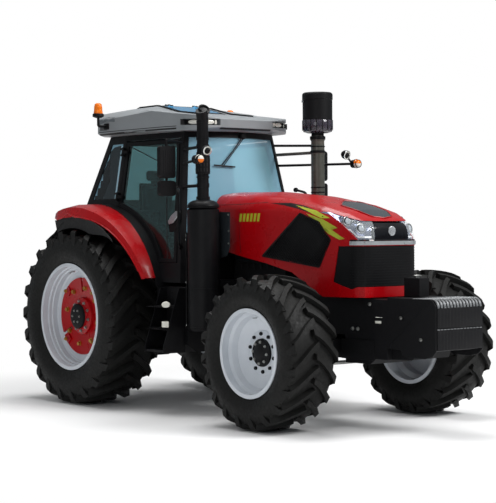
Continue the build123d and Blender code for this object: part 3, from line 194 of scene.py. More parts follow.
def draped(tree, outline, direction, lift=0.0012, depth=0.002, step=0.04, back=2.0):
    """Flat outline in small faces, laid on a surface along a direction as a thin closed shape."""
    work = bmesh.new()
    work.faces.new([work.verts.new(p) for p in outline])
    bmesh.ops.triangulate(work, faces=work.faces)
    direction = Vector(direction).normalized()
    for axis in range(3):
        normal = Vector([float(i == axis) for i in range(3)])
        if abs(normal.dot(direction)) > 0.9:
            continue
        values = [p[axis] for p in outline]
        cut = min(values) + step
        while cut < max(values):
            bmesh.ops.bisect_plane(work, geom=work.verts[:] + work.edges[:] + work.faces[:],
                plane_co=normal * cut, plane_no=normal)
            cut += step
    bmesh.ops.remove_doubles(work, verts=work.verts, dist=1e-5)
    work.verts.index_update()
    top, low = [], []
    for vert in work.verts:
        hit, normal = laid(tree, vert.co - direction * back, direction)
        top.append(hit + normal * lift)
        low.append(hit - normal * depth)
    count = len(top)
    faces = [tuple(v.index for v in face.verts) for face in work.faces]
    faces += [tuple(i + count for i in reversed(face)) for face in faces]
    for edge in work.edges:
        if len(edge.link_faces) == 1:
            a, b = edge.verts[0].index, edge.verts[1].index
            faces.append((a, b, b + count, a + count))
    work.free()
    return top + low, faces


def side_outline(points, side):
    """Outline given as (x, z) in millimetres, standing on one side of the machine."""
    return [spot(x, side * OUTSIDE, z) for x, z in points]


def on_side(tree, points, side, **how):
    """Side outline laid inwards on a surface."""
    return draped(tree, side_outline(points, side), (0, -side, 0), **how)


def stroke(points, width):
    """Outline of a line of even width through (a, b) points."""
    left, right = [], []
    for i, here in enumerate(points):
        before, after = points[max(i - 1, 0)], points[min(i + 1, len(points) - 1)]
        along = Vector((after[0] - before[0], after[1] - before[1])).normalized()
        left.append((here[0] - along.y * width / 2, here[1] + along.x * width / 2))
        right.append((here[0] + along.y * width / 2, here[1] - along.x * width / 2))
    return left + right[::-1]


# ------------------------------------------------------------------ mesh makers
def clean_mesh(name, verts, faces, distance):
    """Mesh with points nearer than the distance merged and its faces turned outwards."""
    mesh = bpy.data.meshes.new(name)
    mesh.from_pydata([tuple(v) for v in verts], [], faces)
    work = bmesh.new()
    work.from_mesh(mesh)
    bmesh.ops.remove_doubles(work, verts=work.verts, dist=distance)
    bmesh.ops.recalc_face_normals(work, faces=work.faces)
    work.to_mesh(mesh)
    work.free()
    return mesh


def linked(name, data):
    """New object in the scene."""
    made = bpy.data.objects.new(name, data)
    bpy.context.collection.objects.link(made)
    return made


def piece(name, verts, faces, material, body=CHASSIS, smooth=35):
    """Mesh object with merged points and outward faces, riding on a body."""
    mesh = clean_mesh(name, verts, faces, 1e-5)
    made = linked(name, mesh)
    mesh.materials.append(bpy.data.materials[material])
    soften_shading(mesh, smooth)
    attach(made, body)
    return made


def soften_shading(mesh, degrees_limit):
    """Smooth faces, with sharp edges where they meet at more than the limit."""
    mesh.shade_smooth()
    work = bmesh.new()
    work.from_mesh(mesh)
    limit = radians(degrees_limit)
    for edge in work.edges:
        edge.smooth = len(edge.link_faces) == 2 and edge.calc_face_angle(0) < limit
    work.to_mesh(mesh)
    work.free()


def bevelled(made, width, segments=2, angle=35):
    """Rounded edges, by a bevel modifier left on the object."""
    bevel = made.modifiers.new("rounded", "BEVEL")
    bevel.width = width
    bevel.segments = segments
    bevel.limit_method = "ANGLE"
    bevel.angle_limit = radians(angle)
    bevel.harden_normals = False
    return made


def grid(rows, closed_rows=False, closed_columns=False, caps=False):
    """Points and faces of a surface through rows of points."""
    verts = [p for row in rows for p in row]
    count, width = len(rows), len(rows[0])
    faces = []
    for i in range(count if closed_rows else count - 1):
        for j in range(width if closed_columns else width - 1):
            a, b = i * width + j, i * width + (j + 1) % width
            c, d = (i + 1) % count * width + (j + 1) % width, (i + 1) % count * width + j
            faces.append((a, b, c, d))
    if caps:
        faces.append(tuple(range(width))[::-1])
        faces.append(tuple(range((count - 1) * width, count * width)))
    return verts, faces


def joined(*shapes):
    """Points and faces of several shapes as one."""
    verts, faces = [], []
    for more_verts, more_faces in shapes:
        start = len(verts)
        verts += list(more_verts)
        faces += [tuple(i + start for i in face) for face in more_faces]
    return verts, faces


def moved(shape, matrix):
    verts, faces = shape
    return [matrix @ Vector(v) for v in verts], faces


def block(x, y, z):
    """Box between pairs of low and high values."""
    verts = [Vector((a, b, c)) for a in x for b in y for c in z]
    return verts, [(0, 1, 3, 2), (4, 6, 7, 5), (0, 4, 5, 1), (2, 3, 7, 6), (0, 2, 6, 4),
        (1, 5, 7, 3)]


def prism(outline, low, high, axis="Y"):
    """Outline of two coordinates carried along the third axis."""
    place = {"X": lambda a, b, c: (c, a, b), "Y": lambda a, b, c: (a, c, b), "Z": lambda a, b,
        c: (a, b, c)}
    rows = [[Vector(place[axis](a, b, c)) for a, b in outline] for c in (low, high)]
    return grid(rows, closed_columns=True, caps=True)


def turned(profile, centre=(0, 0, 0), axis="Z", steps=32, start=0.0, sweep=2 * pi):
    """Open or closed (radius, along) profile turned about an axis through the centre."""
    whole = abs(sweep - 2 * pi) < 1e-6
    rows = []
    for i in range(steps if whole else steps + 1):
        a = start + sweep * i / steps
        row = []
        for r, w in profile:
            u, v = r * cos(a), r * sin(a)
            row.append(Vector(centre) + Vector({"X": (w, u, v), "Y": (u, w, v),
                "Z": (u, v, w)}[axis]))
        rows.append(row)
    return grid(rows, closed_rows=whole)


def ring_profile(r0, r1, w0, w1):
    """Closed rectangular profile for turned."""
    return [(r0, w0), (r1, w0), (r1, w1), (r0, w1), (r0, w0)]


def slab(flat, side, thick, near=0.0):
    """Outline carried outwards from near to its thickness, along Y on one side."""
    rows = [[p + Vector((0, side * d, 0)) for p in flat] for d in (near, thick)]
    return grid(rows, closed_columns=True, caps=True)


def rounded_loop(outline, radius):
    """Closed outline of two coordinates with its corners rounded, on the Z plane."""
    return rounded_path([(a, b, 0) for a, b in outline + outline[:2]], radius, 4)[1:-6]


def drum(centre, r, low, high, axis="Y", steps=32):
    """Solid cylinder."""
    return turned([(0, low), (r, low), (r, high), (0, high)], centre, axis, steps)


def tube(points, r, steps=12, rounds=0.0, caps=True):
    """Round bar through the points, with each corner rounded to a radius."""
    path = rounded_path(points, rounds) if rounds else [Vector(p) for p in points]
    rows = []
    side = None
    for i, here in enumerate(path):
        ahead = path[min(i + 1, len(path) - 1)] - path[max(i - 1, 0)]
        ahead.normalize()
        if side is None:
            side = ahead.orthogonal().normalized()
        side = (side - ahead * side.dot(ahead)).normalized()
        other = ahead.cross(side)
        rows.append([here + r * (cos(2 * pi * k / steps) * side + sin(2 * pi * k / steps) * other)
            for k in range(steps)])
    return grid(rows, closed_columns=True, caps=caps)


def rounded_path(points, radius, steps=6):
    """Points with an arc in place of each inner corner."""
    points = [Vector(p) for p in points]
    path = [points[0]]
    for before, corner, after in zip(points, points[1:], points[2:]):
        back, ahead = (before - corner).normalized(), (after - corner).normalized()
        half = back.angle(ahead) / 2
        reach = min(radius / max(sin(half), 1e-3) * cos(half), (before - corner).length / 2,
            (after - corner).length / 2)
        start, end = corner + back * reach, corner + ahead * reach
        for k in range(steps + 1):
            t = k / steps
            path.append((1 - t) ** 2 * start + 2 * t * (1 - t) * corner + t * t * end)
    path.append(points[-1])
    return path


def standing(place, normal):
    """Matrix that carries Z to a face's outward direction and the origin to the place."""
    turn = Vector((0, 0, 1)).rotation_difference(normal).to_matrix().to_4x4()
    return Matrix.Translation(place) @ turn


def swung(place, angle, axis="Z"):
    """Matrix of a turn about an axis, then a move to the place."""
    return Matrix.Translation(place) @ Matrix.Rotation(angle, 4, axis)


def hexagon_head(centre, normal, across, height):
    """Bolt head with a washer, standing on a face."""
    place = standing(centre, Vector(normal).normalized())
    washer = turned([(0, 0), (across * 0.72, 0), (across * 0.72, height * 0.22), (0, height * 0.22)],
        steps=16)
    head = turned([(0, height * 0.2), (across * 0.577, height * 0.2),
        (across * 0.577, height * 0.85), (across * 0.5, height), (0, height)], steps=6)
    return moved(joined(washer, head), place)


def heads(places, normal, across, height):
    """Bolt heads standing on a face at each place."""
    return joined(*[hexagon_head(place, normal, across, height) for place in places])


def lerp(a, b, t):
    return a + (b - a) * t


def smoothstep(low, high, x):
    t = min(1, max(0, (x - low) / (high - low)))
    return t * t * (3 - 2 * t)


def interpolated(table, x):
    """Row of a table at x, read between its rows by their first column."""
    if x <= table[0][0]:
        return table[0][1:]
    for low, high in zip(table, table[1:]):
        if x <= high[0]:
            t = (x - low[0]) / (high[0] - low[0])
            return [lerp(a, b, t) for a, b in zip(low[1:], high[1:])]
    return table[-1][1:]


# ------------------------------------------------------------------ geometry nodes
def node_tree(name, inputs):
    """Geometry node group with a geometry in and out and the named number inputs."""
    tree = bpy.data.node_groups.new(name, "GeometryNodeTree")
    tree.interface.new_socket("Geometry", in_out="INPUT", socket_type="NodeSocketGeometry")
    tree.interface.new_socket("Geometry", in_out="OUTPUT", socket_type="NodeSocketGeometry")
    for label, kind, default in inputs:
        socket = tree.interface.new_socket(label, in_out="INPUT", socket_type=kind)
        if default is not None:
            socket.default_value = default
    return tree, add(tree, "NodeGroupInput"), add(tree, "NodeGroupOutput")


def round_axle_tree():
    """Copies of a shape, evenly spaced about the Y axis through Centre."""
    tree, given, result = node_tree("repeat_round_axle",
        [("Count", "NodeSocketInt", 12), ("Phase", "NodeSocketFloat", 0.0),
        ("Centre", "NodeSocketVector", (0, 0, 0)), ("Material", "NodeSocketMaterial", None)])
    points = add(tree, "GeometryNodePoints", {"Count": given.outputs["Count"]})
    number = add(tree, "GeometryNodeInputIndex")
    step = add(tree, "ShaderNodeMath", {1: given.outputs["Count"]}, operation="DIVIDE")
    step.inputs[0].default_value = 2 * pi
    turn = add(tree, "ShaderNodeMath", {0: number.outputs["Index"], 1: step.outputs["Value"],
        2: given.outputs["Phase"]}, operation="MULTIPLY_ADD")
    angles = add(tree, "ShaderNodeCombineXYZ", {"Y": turn.outputs["Value"]})
    copies = add(tree, "GeometryNodeInstanceOnPoints",
        {"Points": points.outputs[0], "Instance": given.outputs["Geometry"],
        "Rotation": angles.outputs["Vector"]})
    real = add(tree, "GeometryNodeRealizeInstances", {"Geometry": copies.outputs["Instances"]})
    place = add(tree, "GeometryNodeTransform", {"Geometry": real.outputs["Geometry"],
        "Translation": given.outputs["Centre"]})
    dressed = add(tree, "GeometryNodeSetMaterial", {"Geometry": place.outputs["Geometry"],
        "Material": given.outputs["Material"]})
    tree.links.new(dressed.outputs["Geometry"], result.inputs["Geometry"])
    return tree


def run_tree(name, shape, tree, values, material, body, smooth=35):
    """A shape put through a node tree, as a plain mesh that rides on a body."""
    seed = linked(name + "_seed", clean_mesh(name + "_seed", *shape, 1e-6))
    modifier = seed.modifiers.new("tree", "NODES")
    modifier.node_group = tree
    sockets = {item.name: item.identifier for item in tree.interface.items_tree
        if item.in_out == "INPUT"}
    for label, value in values.items():
        modifier[sockets[label]] = value
    if "Material" in sockets:
        modifier[sockets["Material"]] = bpy.data.materials[material]
    view = bpy.context.evaluated_depsgraph_get()
    result = bpy.data.meshes.new_from_object(seed.evaluated_get(view))
    bpy.data.objects.remove(seed)
    result.name = name
    made = linked(name, result)
    if not result.materials:
        result.materials.append(bpy.data.materials[material])
    soften_shading(result, smooth)
    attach(made, body)
    return made


# ------------------------------------------------------------------ finishes
def raised(tree, surface, height, strength, depth_mm):
    """Bump of a height on the surface."""
    bump = add(tree, "ShaderNodeBump", {"Height": height})
    bump.inputs["Strength"].default_value = strength
    bump.inputs["Distance"].default_value = depth_mm / 1000
    tree.links.new(bump.outputs["Normal"], surface.inputs["Normal"])


def grains(tree, surface, millimetres, strength, depth_mm, detail=3.0):
    """Fine raised grain on the surface."""
    noise = add(tree, "ShaderNodeTexNoise", {"Vector": object_space(tree, millimetres)})
    noise.inputs["Scale"].default_value = 1.0
    noise.inputs["Detail"].default_value = detail
    raised(tree, surface, noise.outputs["Fac"], strength, depth_mm)


def waved(tree, surface, millimetres, strength):
    """Long low waves of drawn or moulded glass."""
    grains(tree, surface, millimetres, strength, 4, 0.0)


def ribs(tree, surface, millimetres):
    """Upright optical ribs moulded in a lens."""
    wave = add(tree, "ShaderNodeTexWave", {"Vector": object_space(tree, millimetres)},
        bands_direction="Y")
    wave.inputs["Scale"].default_value = 0.16
    raised(tree, surface, wave.outputs["Fac"], 0.4, 1)


def weave(tree, surface, millimetres):
    """Crossed threads."""
    space = object_space(tree, millimetres)
    waves = []
    for direction in ("X", "Z"):
        wave = add(tree, "ShaderNodeTexWave", {"Vector": space}, wave_type="BANDS",
            bands_direction=direction)
        wave.inputs["Scale"].default_value = 0.32
        waves.append(wave.outputs["Fac"])
    both = add(tree, "ShaderNodeMath", {0: waves[0], 1: waves[1]}, operation="MAXIMUM")
    raised(tree, surface, both.outputs["Value"], 0.5, 0.6)


# each finish's constant inputs, and what varies: two colours and their size in mm, two roughnesses
# and their size in mm, and a relief with its sizes
VARIATIONS = ("colours", "roughnesses", "relief")
FINISHES = {
    # two-pack enamel sprayed on pressed steel: deep red under clear gloss, with a slow ripple
    "red_enamel": dict(colours=("#9C0008", "#AA000A", 220), roughnesses=(0.24, 0.34, 160), ior=1.5,
        specular_ior_level=0.22, coat_weight=0.16, coat_roughness=0.08),
    # silver enamel sprayed on a moulded roof: soft metallic grey that clouds slightly
    "silver_enamel": dict(colours=("#868B8E", "#989C9F", 300), roughnesses=(0.3, 0.42, 120),
        metallic=0.25),
    # powder coat on rolled steel rims: cool pale grey with a smooth half gloss
    "wheel_enamel": dict(colours=("#C0C6CE", "#D3D8DE", 140), roughnesses=(0.28, 0.4, 50)),
    # black enamel brushed over welded plate: low gloss, a little dusty
    "chassis_enamel": dict(colours=("#0B0B0D", "#141416", 90), roughnesses=(0.34, 0.5, 60),
        specular_ior_level=0.15),
    # sand-cast iron under thin paint: pitted black that breaks up the light
    "painted_casting": dict(colours=("#0D0D0F", "#18181A", 30), relief=(grains, 5, 0.25, 1.2),
        roughness=0.55, specular_ior_level=0.15),
    # ABS moulded in an etched tool: fine even grain, matt black
    "grained_abs": dict(colours=("#0C0C0E", "#111113", 120), relief=(grains, 2.5, 0.15, 0.4),
        roughness=0.5, specular_ior_level=0.15),
    # vulcanised rubber: dull black, scuffed paler in patches
    "tyre_rubber": dict(colours=("#080808", "#11110F", 45), roughnesses=(0.5, 0.72, 25),
        relief=(grains, 4, 0.12, 0.8), specular_ior_level=0.25),
    # extruded EPDM rubber: matt black with a faint bloom
    "seal_rubber": dict(colours=("#0B0B0C", "#101011", 40), roughnesses=(0.6, 0.78, 20)),
    # float glass with a sky-blue solar tint: clear, with a slight drawn waviness
    "tinted_glass": dict(colours=("#9FD5EC", "#ACDFF4", 400), relief=(waved, 180, 0.05),
        roughness=0.02, ior=1.5, alpha=0.5),
    # green-tinted toughened door glass: darker, faintly rippled by its rollers
    "door_glass": dict(relief=(waved, 150, 0.06), base_color=linear("#6FA3A4"), roughness=0.0,
        ior=1.45, transmission_weight=1.0),
    # black-tinted roof glass: nearly opaque, mirror smooth
    "smoked_glass": dict(colours=("#0D1416", "#131C1F", 300), roughness=0.05, ior=1.5, alpha=0.82),
    # injection-moulded clear polycarbonate: almost colourless, with faint flow ripples
    "clear_polycarbonate": dict(colours=("#D8E0E5", "#E2E8EB", 200), relief=(waved, 90, 0.05),
        roughness=0.03, ior=1.58, alpha=0.14),
    # cast acrylic lens in amber: saturated, smooth, optical ribs inside
    "amber_acrylic": dict(colours=("#E96F0C", "#F68018", 40), relief=(ribs, 7), roughness=0.12,
        ior=1.49),
    # cast acrylic lens in red: dark and smooth, with ribs
    "red_acrylic": dict(colours=("#9C0909", "#B21010", 40), relief=(ribs, 7), roughness=0.12,
        ior=1.49),
    # clear acrylic over a white backing: pale, ribbed
    "clear_lens": dict(colours=("#DAD9CE", "#E6E5DC", 50), relief=(ribs, 7), roughness=0.12,
        ior=1.49),
    # tinted acrylic roof panel: even blue under a smooth surface
    "blue_acrylic": dict(colours=("#3A769C", "#4A8CB6", 90), roughness=0.08, ior=1.49),
    # dark acrylic over lamps: grey-black and glossy
    "smoked_acrylic": dict(colours=("#272F35", "#31393F", 120), roughness=0.22, ior=1.49),
    # gloss black acrylic nose panel: deep, with hairline polish marks in its shine
    "black_acrylic": dict(colours=("#090A0E", "#0E0F13", 200), roughnesses=(0.06, 0.13, 30),
        ior=1.49),
    # frosted white light guide: even and bright
    "white_light_guide": dict(colours=("#EDF0F2", "#F5F7F8", 30), roughness=0.2),
    # pressed optical glass of a projector: clear, with a thick body
    "projector_glass": dict(colours=("#C3CCD4", "#D0D8DF", 30), roughness=0.03, ior=1.52,
        alpha=0.7),
    # polycarbonate bowl with a grey tint: smooth, see-through at its edge
    "smoke_bowl": dict(colours=("#37333D", "#423E48", 60), roughness=0.12, ior=1.58, alpha=0.8),
    # aluminium vapour under lacquer on moulded plastic: bright mirror with slight haze
    "vacuum_chrome": dict(colours=("#D2D5D7", "#DDDFE0", 80), roughnesses=(0.05, 0.1, 25),
        metallic=1.0),
    # the same metal under smoke lacquer: blue-grey, softer
    "smoked_chrome": dict(colours=("#777F99", "#868EA7", 60), roughnesses=(0.14, 0.24, 25),
        metallic=0.9),
    # silvered mirror glass: clean reflection with a slight wave
    "silvered_glass": dict(colours=("#BFC8CC", "#C9D0D4", 200), relief=(waved, 160, 0.04),
        roughness=0.03, metallic=1.0),
    # cut vinyl decal: flat yellow-green, low gloss
    "yellow_green_vinyl": dict(colours=("#9AA524", "#B9C234", 60), roughness=0.35),
    # grey grained sheet, darker than the silver roof, laid on the roof's sides as the painted shade of
    # a shallow recess near the rear corner
    "silver_shadow": dict(colours=("#575E63", "#61686D", 150), relief=(grains, 3, 0.15, 0.4),
        roughness=0.5),
    # aluminium with a brushed face: bright, with short streaks of roughness
    "brushed_aluminium": dict(roughnesses=(0.25, 0.42, 5), base_color=linear("#B9BCC0"),
        metallic=1.0),
    # heat-resistant enamel with metal flake on the silencer: dull khaki
    "khaki_enamel": dict(colours=("#474842", "#585952", 60), roughnesses=(0.26, 0.4, 40),
        metallic=0.3),
    # blue-black enamel of the hood's top panel: half gloss
    "slate_enamel": dict(colours=("#1F2327", "#2A3034", 70), roughness=0.4),
    # casting with its paint rubbed through: grey iron showing in patches; on the front weights this
    # pale grey is also a painted highlight on the grips and groove edges
    "worn_casting": dict(colours=("#6C6E70", "#A9ABAD", 22), roughness=0.35, metallic=0.7),
    # burnt carbon on bare steel: black and fully matt
    "soot": dict(colours=("#040404", "#0C0B0A", 12), roughness=0.9),
    # electro-plated zinc: grey metal with a fine cloudy shine
    "zinc_plated_steel": dict(roughnesses=(0.24, 0.4, 8), base_color=linear("#A8A9A6"),
        metallic=1.0),
    # zinc with a yellow passivation: brassy, uneven from bolt to bolt
    "yellow_zinc_steel": dict(colours=("#AE8440", "#C39A50", 20), roughnesses=(0.25, 0.42, 8),
        metallic=1.0),
    # enamelled pipe: warm dark grey
    "grey_brown_enamel": dict(colours=("#45423B", "#524E46", 80), roughness=0.38),
    # silver paint on plastic trim: pale grey with a soft metallic shine
    "light_grey_trim": dict(colours=("#ADB1B4", "#BABEC1", 90), roughnesses=(0.26, 0.36, 60),
        metallic=0.6),
    # polyester yarn woven plain: charcoal, drawn coarser than life so that its threads show
    "woven_seat_cloth": dict(colours=("#1C1F22", "#25282B", 35), relief=(weave, 1.6),
        roughness=0.85, sheen_weight=0.25),
    # embossed PVC cover: black with a leather-like grain
    "seat_vinyl": dict(colours=("#191A1C", "#1E1F21", 60), relief=(grains, 1.8, 0.2, 0.3),
        roughness=0.5),
    # moulded polypropylene lining: dark grey and dry
    "cab_lining": dict(colours=("#282A2D", "#2E3033", 110), relief=(grains, 2.5, 0.2, 0.4),
        roughness=0.7),
}


def make_finishes():
    """Every finish, each with the variation that its making leaves on the surface."""
    for name, constants in FINISHES.items():
        constants = dict(constants)
        colours, roughnesses, relief = (constants.pop(key, None) for key in VARIATIONS)
        tree, surface = finish(name, **constants)
        if colours:
            mottled(tree, surface, *colours)
        if roughnesses:
            mottled(tree, surface, *roughnesses, "Roughness")
        if relief:
            relief[0](tree, surface, *relief[1:])


def soften_tree():
    """Joins a CAD node's loose triangles, rounds nothing, and shades its gentle curves smooth."""
    tree, given, result = node_tree("soften", [("Angle", "NodeSocketFloat", radians(30))])
    merged = add(tree, "GeometryNodeMergeByDistance", {"Geometry": given.outputs["Geometry"]})
    merged.inputs["Distance"].default_value = 1e-5
    smooth = add(tree, "GeometryNodeSetShadeSmooth", {"Geometry": merged.outputs["Geometry"]},
        domain="FACE")
    angle = add(tree, "GeometryNodeInputMeshEdgeAngle")
    sharp = add(tree, "ShaderNodeMath", {0: angle.outputs["Unsigned Angle"],
        1: given.outputs["Angle"]}, operation="GREATER_THAN")
    edges = add(tree, "GeometryNodeSetShadeSmooth",
        {"Geometry": smooth.outputs["Geometry"], "Selection": sharp.outputs["Value"]},
        domain="EDGE")
    edges.inputs["Shade Smooth"].default_value = False
    tree.links.new(edges.outputs["Geometry"], result.inputs["Geometry"])
    return tree


NODE_FINISH = {node: name for name, nodes in {
    "grained_abs":
        "battery_box fender_liners front_lamps fuel_tank hood_grilles mirrors precleaner "
        "roof_hatch steering_wheel",
    "amber_acrylic": "beacons",
    "chassis_enamel":
        "cab_floor cab_frame cab_steps drawbar exhaust hood_bracket lift_arms lower_links "
        "radiator top_link left_door right_door",
    "silver_enamel": "cab_roof",
    "tinted_glass": "cab_windows",
    "cab_lining": "dashboard",
    "painted_casting":
        "engine_block front_axle front_frame front_weights rear_axle rear_cover transmission "
        "weight_carrier left_knuckle right_knuckle front_left_hub front_right_hub",
    "clear_polycarbonate": "headlights",
    "red_enamel": "hood_shell rear_fenders rear_left_wheel_centre rear_right_wheel_centre",
    "grey_brown_enamel": "intake_pipe",
    "zinc_plated_steel": "lift_rods pto_shaft tie_rod",
    "red_acrylic": "rear_lamps",
    "seat_vinyl": "seat",
    "door_glass": "left_door_glass right_door_glass",
    "wheel_enamel": "front_left_rim front_right_rim rear_left_rim rear_right_rim",
    "tyre_rubber": "front_left_tyre front_right_tyre rear_left_tyre rear_right_tyre",
}.items() for node in nodes.split()}


class TRACTOR_OT_finishes(bpy.types.Operator):
    """Finish every piece that the frame brings"""

    bl_idname = "tractor.finishes"
    bl_label = "Finishes"

    def execute(self, context):
        make_finishes()
        soften = soften_tree()
        for name, made in NODES.items():
            made.data.materials.clear()
            made.data.materials.append(bpy.data.materials[NODE_FINISH[name]])
            modifier = made.modifiers.new("soften", "NODES")
            modifier.node_group = soften
        return {"FINISHED"}


# ------------------------------------------------------------------ stage
FLOOR_REACH = 40           # half the floor's side, m
FLOOR_DROP = 0.0005        # the floor lies this far under the tyres, m
FADE = (3.0, 5.6)          # the floor turns to plain white between these distances, m


class TRACTOR_stage(bpy.types.PropertyGroup):
    camera_place: FloatVectorProperty(name="Camera place", description="Where the camera stands",
        subtype="XYZ", unit="LENGTH", default=(11.9925, -9.7226, 1.8146))
    camera_aim: FloatVectorProperty(name="Camera aim", description="Point in the middle of the view",
        subtype="XYZ", unit="LENGTH", default=(-0.0195, -0.1021, 1.5919))
    camera_roll: FloatProperty(name="Camera roll", description="Turn about the line of sight",
        unit="ROTATION", default=radians(-0.44))
    lens: FloatProperty(name="Lens", description="Focal length in millimetres on a 36 mm sensor",
        default=108.87)
    floor_colour: StringProperty(name="Floor colour", description="Colour of the floor",
        default="#F4F4F4")


def lamp(name, place, aim, size, power, colour="#FFFFFF"):
    data = bpy.data.lights.new(name, "AREA")
    data.shape = "DISK"
    data.size = size
    data.energy = power
    data.color = linear(colour)[:3]
    made = linked(name, data)
    made.location = place
    made.rotation_euler = (Vector(aim) - Vector(place)).to_track_quat("-Z", "Y").to_euler()


def seen_directly(tree):
    """1 for camera and see-through rays, 0 for light that falls on things."""
    path = add(tree, "ShaderNodeLightPath")
    first = add(tree, "ShaderNodeMath", {0: path.outputs["Is Camera Ray"],
        1: path.outputs["Is Transmission Ray"]}, operation="MAXIMUM")
    return first.outputs["Value"]


def studio_world():
    world = bpy.data.worlds.new("studio")
    bpy.context.scene.world = world
    world.use_nodes = True
    tree = world.node_tree
    tree.nodes.clear()
    out = add(tree, "ShaderNodeOutputWorld")
    place = add(tree, "ShaderNodeTexCoord")
    parts = add(tree, "ShaderNodeSeparateXYZ", {"Vector": place.outputs["Generated"]})
    ramp = add(tree, "ShaderNodeValToRGB", {"Fac": parts.outputs["Z"]})
    stops = ramp.color_ramp.elements
    stops[0].position, stops[0].color = 0.0, linear("#6E7072")
    stops[1].position, stops[1].color = 0.75, linear("#FFFFFF")
    middle = stops.new(0.06)
    middle.color = linear("#A9B4BC")
    soft = add(tree, "ShaderNodeBackground", {"Color": ramp.outputs["Color"]})
    soft.inputs["Strength"].default_value = 0.45
    plain = add(tree, "ShaderNodeBackground")
    plain.inputs["Color"].default_value = (1, 1, 1, 1)
    mix = add(tree, "ShaderNodeMixShader", {0: seen_directly(tree), 1: soft.outputs[0],
        2: plain.outputs[0]})
    tree.links.new(mix.outputs[0], out.inputs["Surface"])


def studio_floor(colour):
    made = bpy.data.meshes.new("floor")
    made.from_pydata([(x * FLOOR_REACH, y * FLOOR_REACH, 0) for x,
        y in ((-1, -1), (1, -1), (1, 1), (-1, 1))], [], [(0, 1, 2, 3)])
    floor = linked("floor", made)
    floor.location.z = CAD_BOX[0][2] - FLOOR_DROP
    material = bpy.data.materials.new("studio_floor")
    material.use_nodes = True
    tree = material.node_tree
    surface = tree.nodes["Principled BSDF"]
    surface.inputs["Base Color"].default_value = linear(colour)
    surface.inputs["Roughness"].default_value = 0.9
    place = add(tree, "ShaderNodeTexCoord")
    distance = add(tree, "ShaderNodeVectorMath", {0: place.outputs["Object"]}, operation="LENGTH")
    fade = add(tree, "ShaderNodeMapRange", {"Value": distance.outputs["Value"]},
        interpolation_type="SMOOTHSTEP")
    for label, value in (("From Min", FADE[0]), ("From Max", FADE[1]), ("To Min", 0.0),
            ("To Max", 1.0)):
        fade.inputs[label].default_value = value
    path = add(tree, "ShaderNodeLightPath")
    seen = add(tree, "ShaderNodeMath", {0: fade.outputs["Result"], 1: path.outputs["Is Camera Ray"]},
        operation="MULTIPLY")
    plain = add(tree, "ShaderNodeEmission")
    plain.inputs["Color"].default_value = (1, 1, 1, 1)
    mix = add(tree, "ShaderNodeMixShader", {0: seen.outputs["Value"], 1: surface.outputs[0],
        2: plain.outputs[0]})
    tree.links.new(mix.outputs[0], tree.nodes["Material Output"].inputs["Surface"])
    made.materials.append(material)


class TRACTOR_OT_stage(bpy.types.Operator):
    """Floor, lamps, background and camera"""

    bl_idname = "tractor.stage"
    bl_label = "Stage"

    def execute(self, context):
        sizes = context.scene.tractor_stage
        scene = context.scene
        scene.view_settings.view_transform = "Standard"
        studio_world()
        studio_floor(sizes.floor_colour)
        lamp("key", (9, 4, 9), (0, 0, 1.2), 5, 1050)
        lamp("side", (7, -10, 5), (0, 0, 1.2), 5, 130)
        lamp("top", (-1, 0, 10), (0, 0, 1), 6, 650)
        camera = linked("camera", bpy.data.cameras.new("camera"))
        camera.data.lens = sizes.lens
        camera.data.clip_end = 200
        place, aim = Vector(sizes.camera_place), Vector(sizes.camera_aim)
        turn = (aim - place).to_track_quat("-Z", "Y") @ Quaternion((0, 0, 1), sizes.camera_roll)
        camera.matrix_world = Matrix.Translation(place) @ turn.to_matrix().to_4x4()
        scene.camera = camera
        return {"FINISHED"}


# ------------------------------------------------------------------ wheels
class TRACTOR_wheels(bpy.types.PropertyGroup):
    rear_bolts: IntProperty(name="Rear disc bolts", description="Bolts round a rear disc", default=8,
        min=3)
    hub_bolts: IntProperty(name="Hub bolts", description="Bolts round a hub", default=10, min=3)


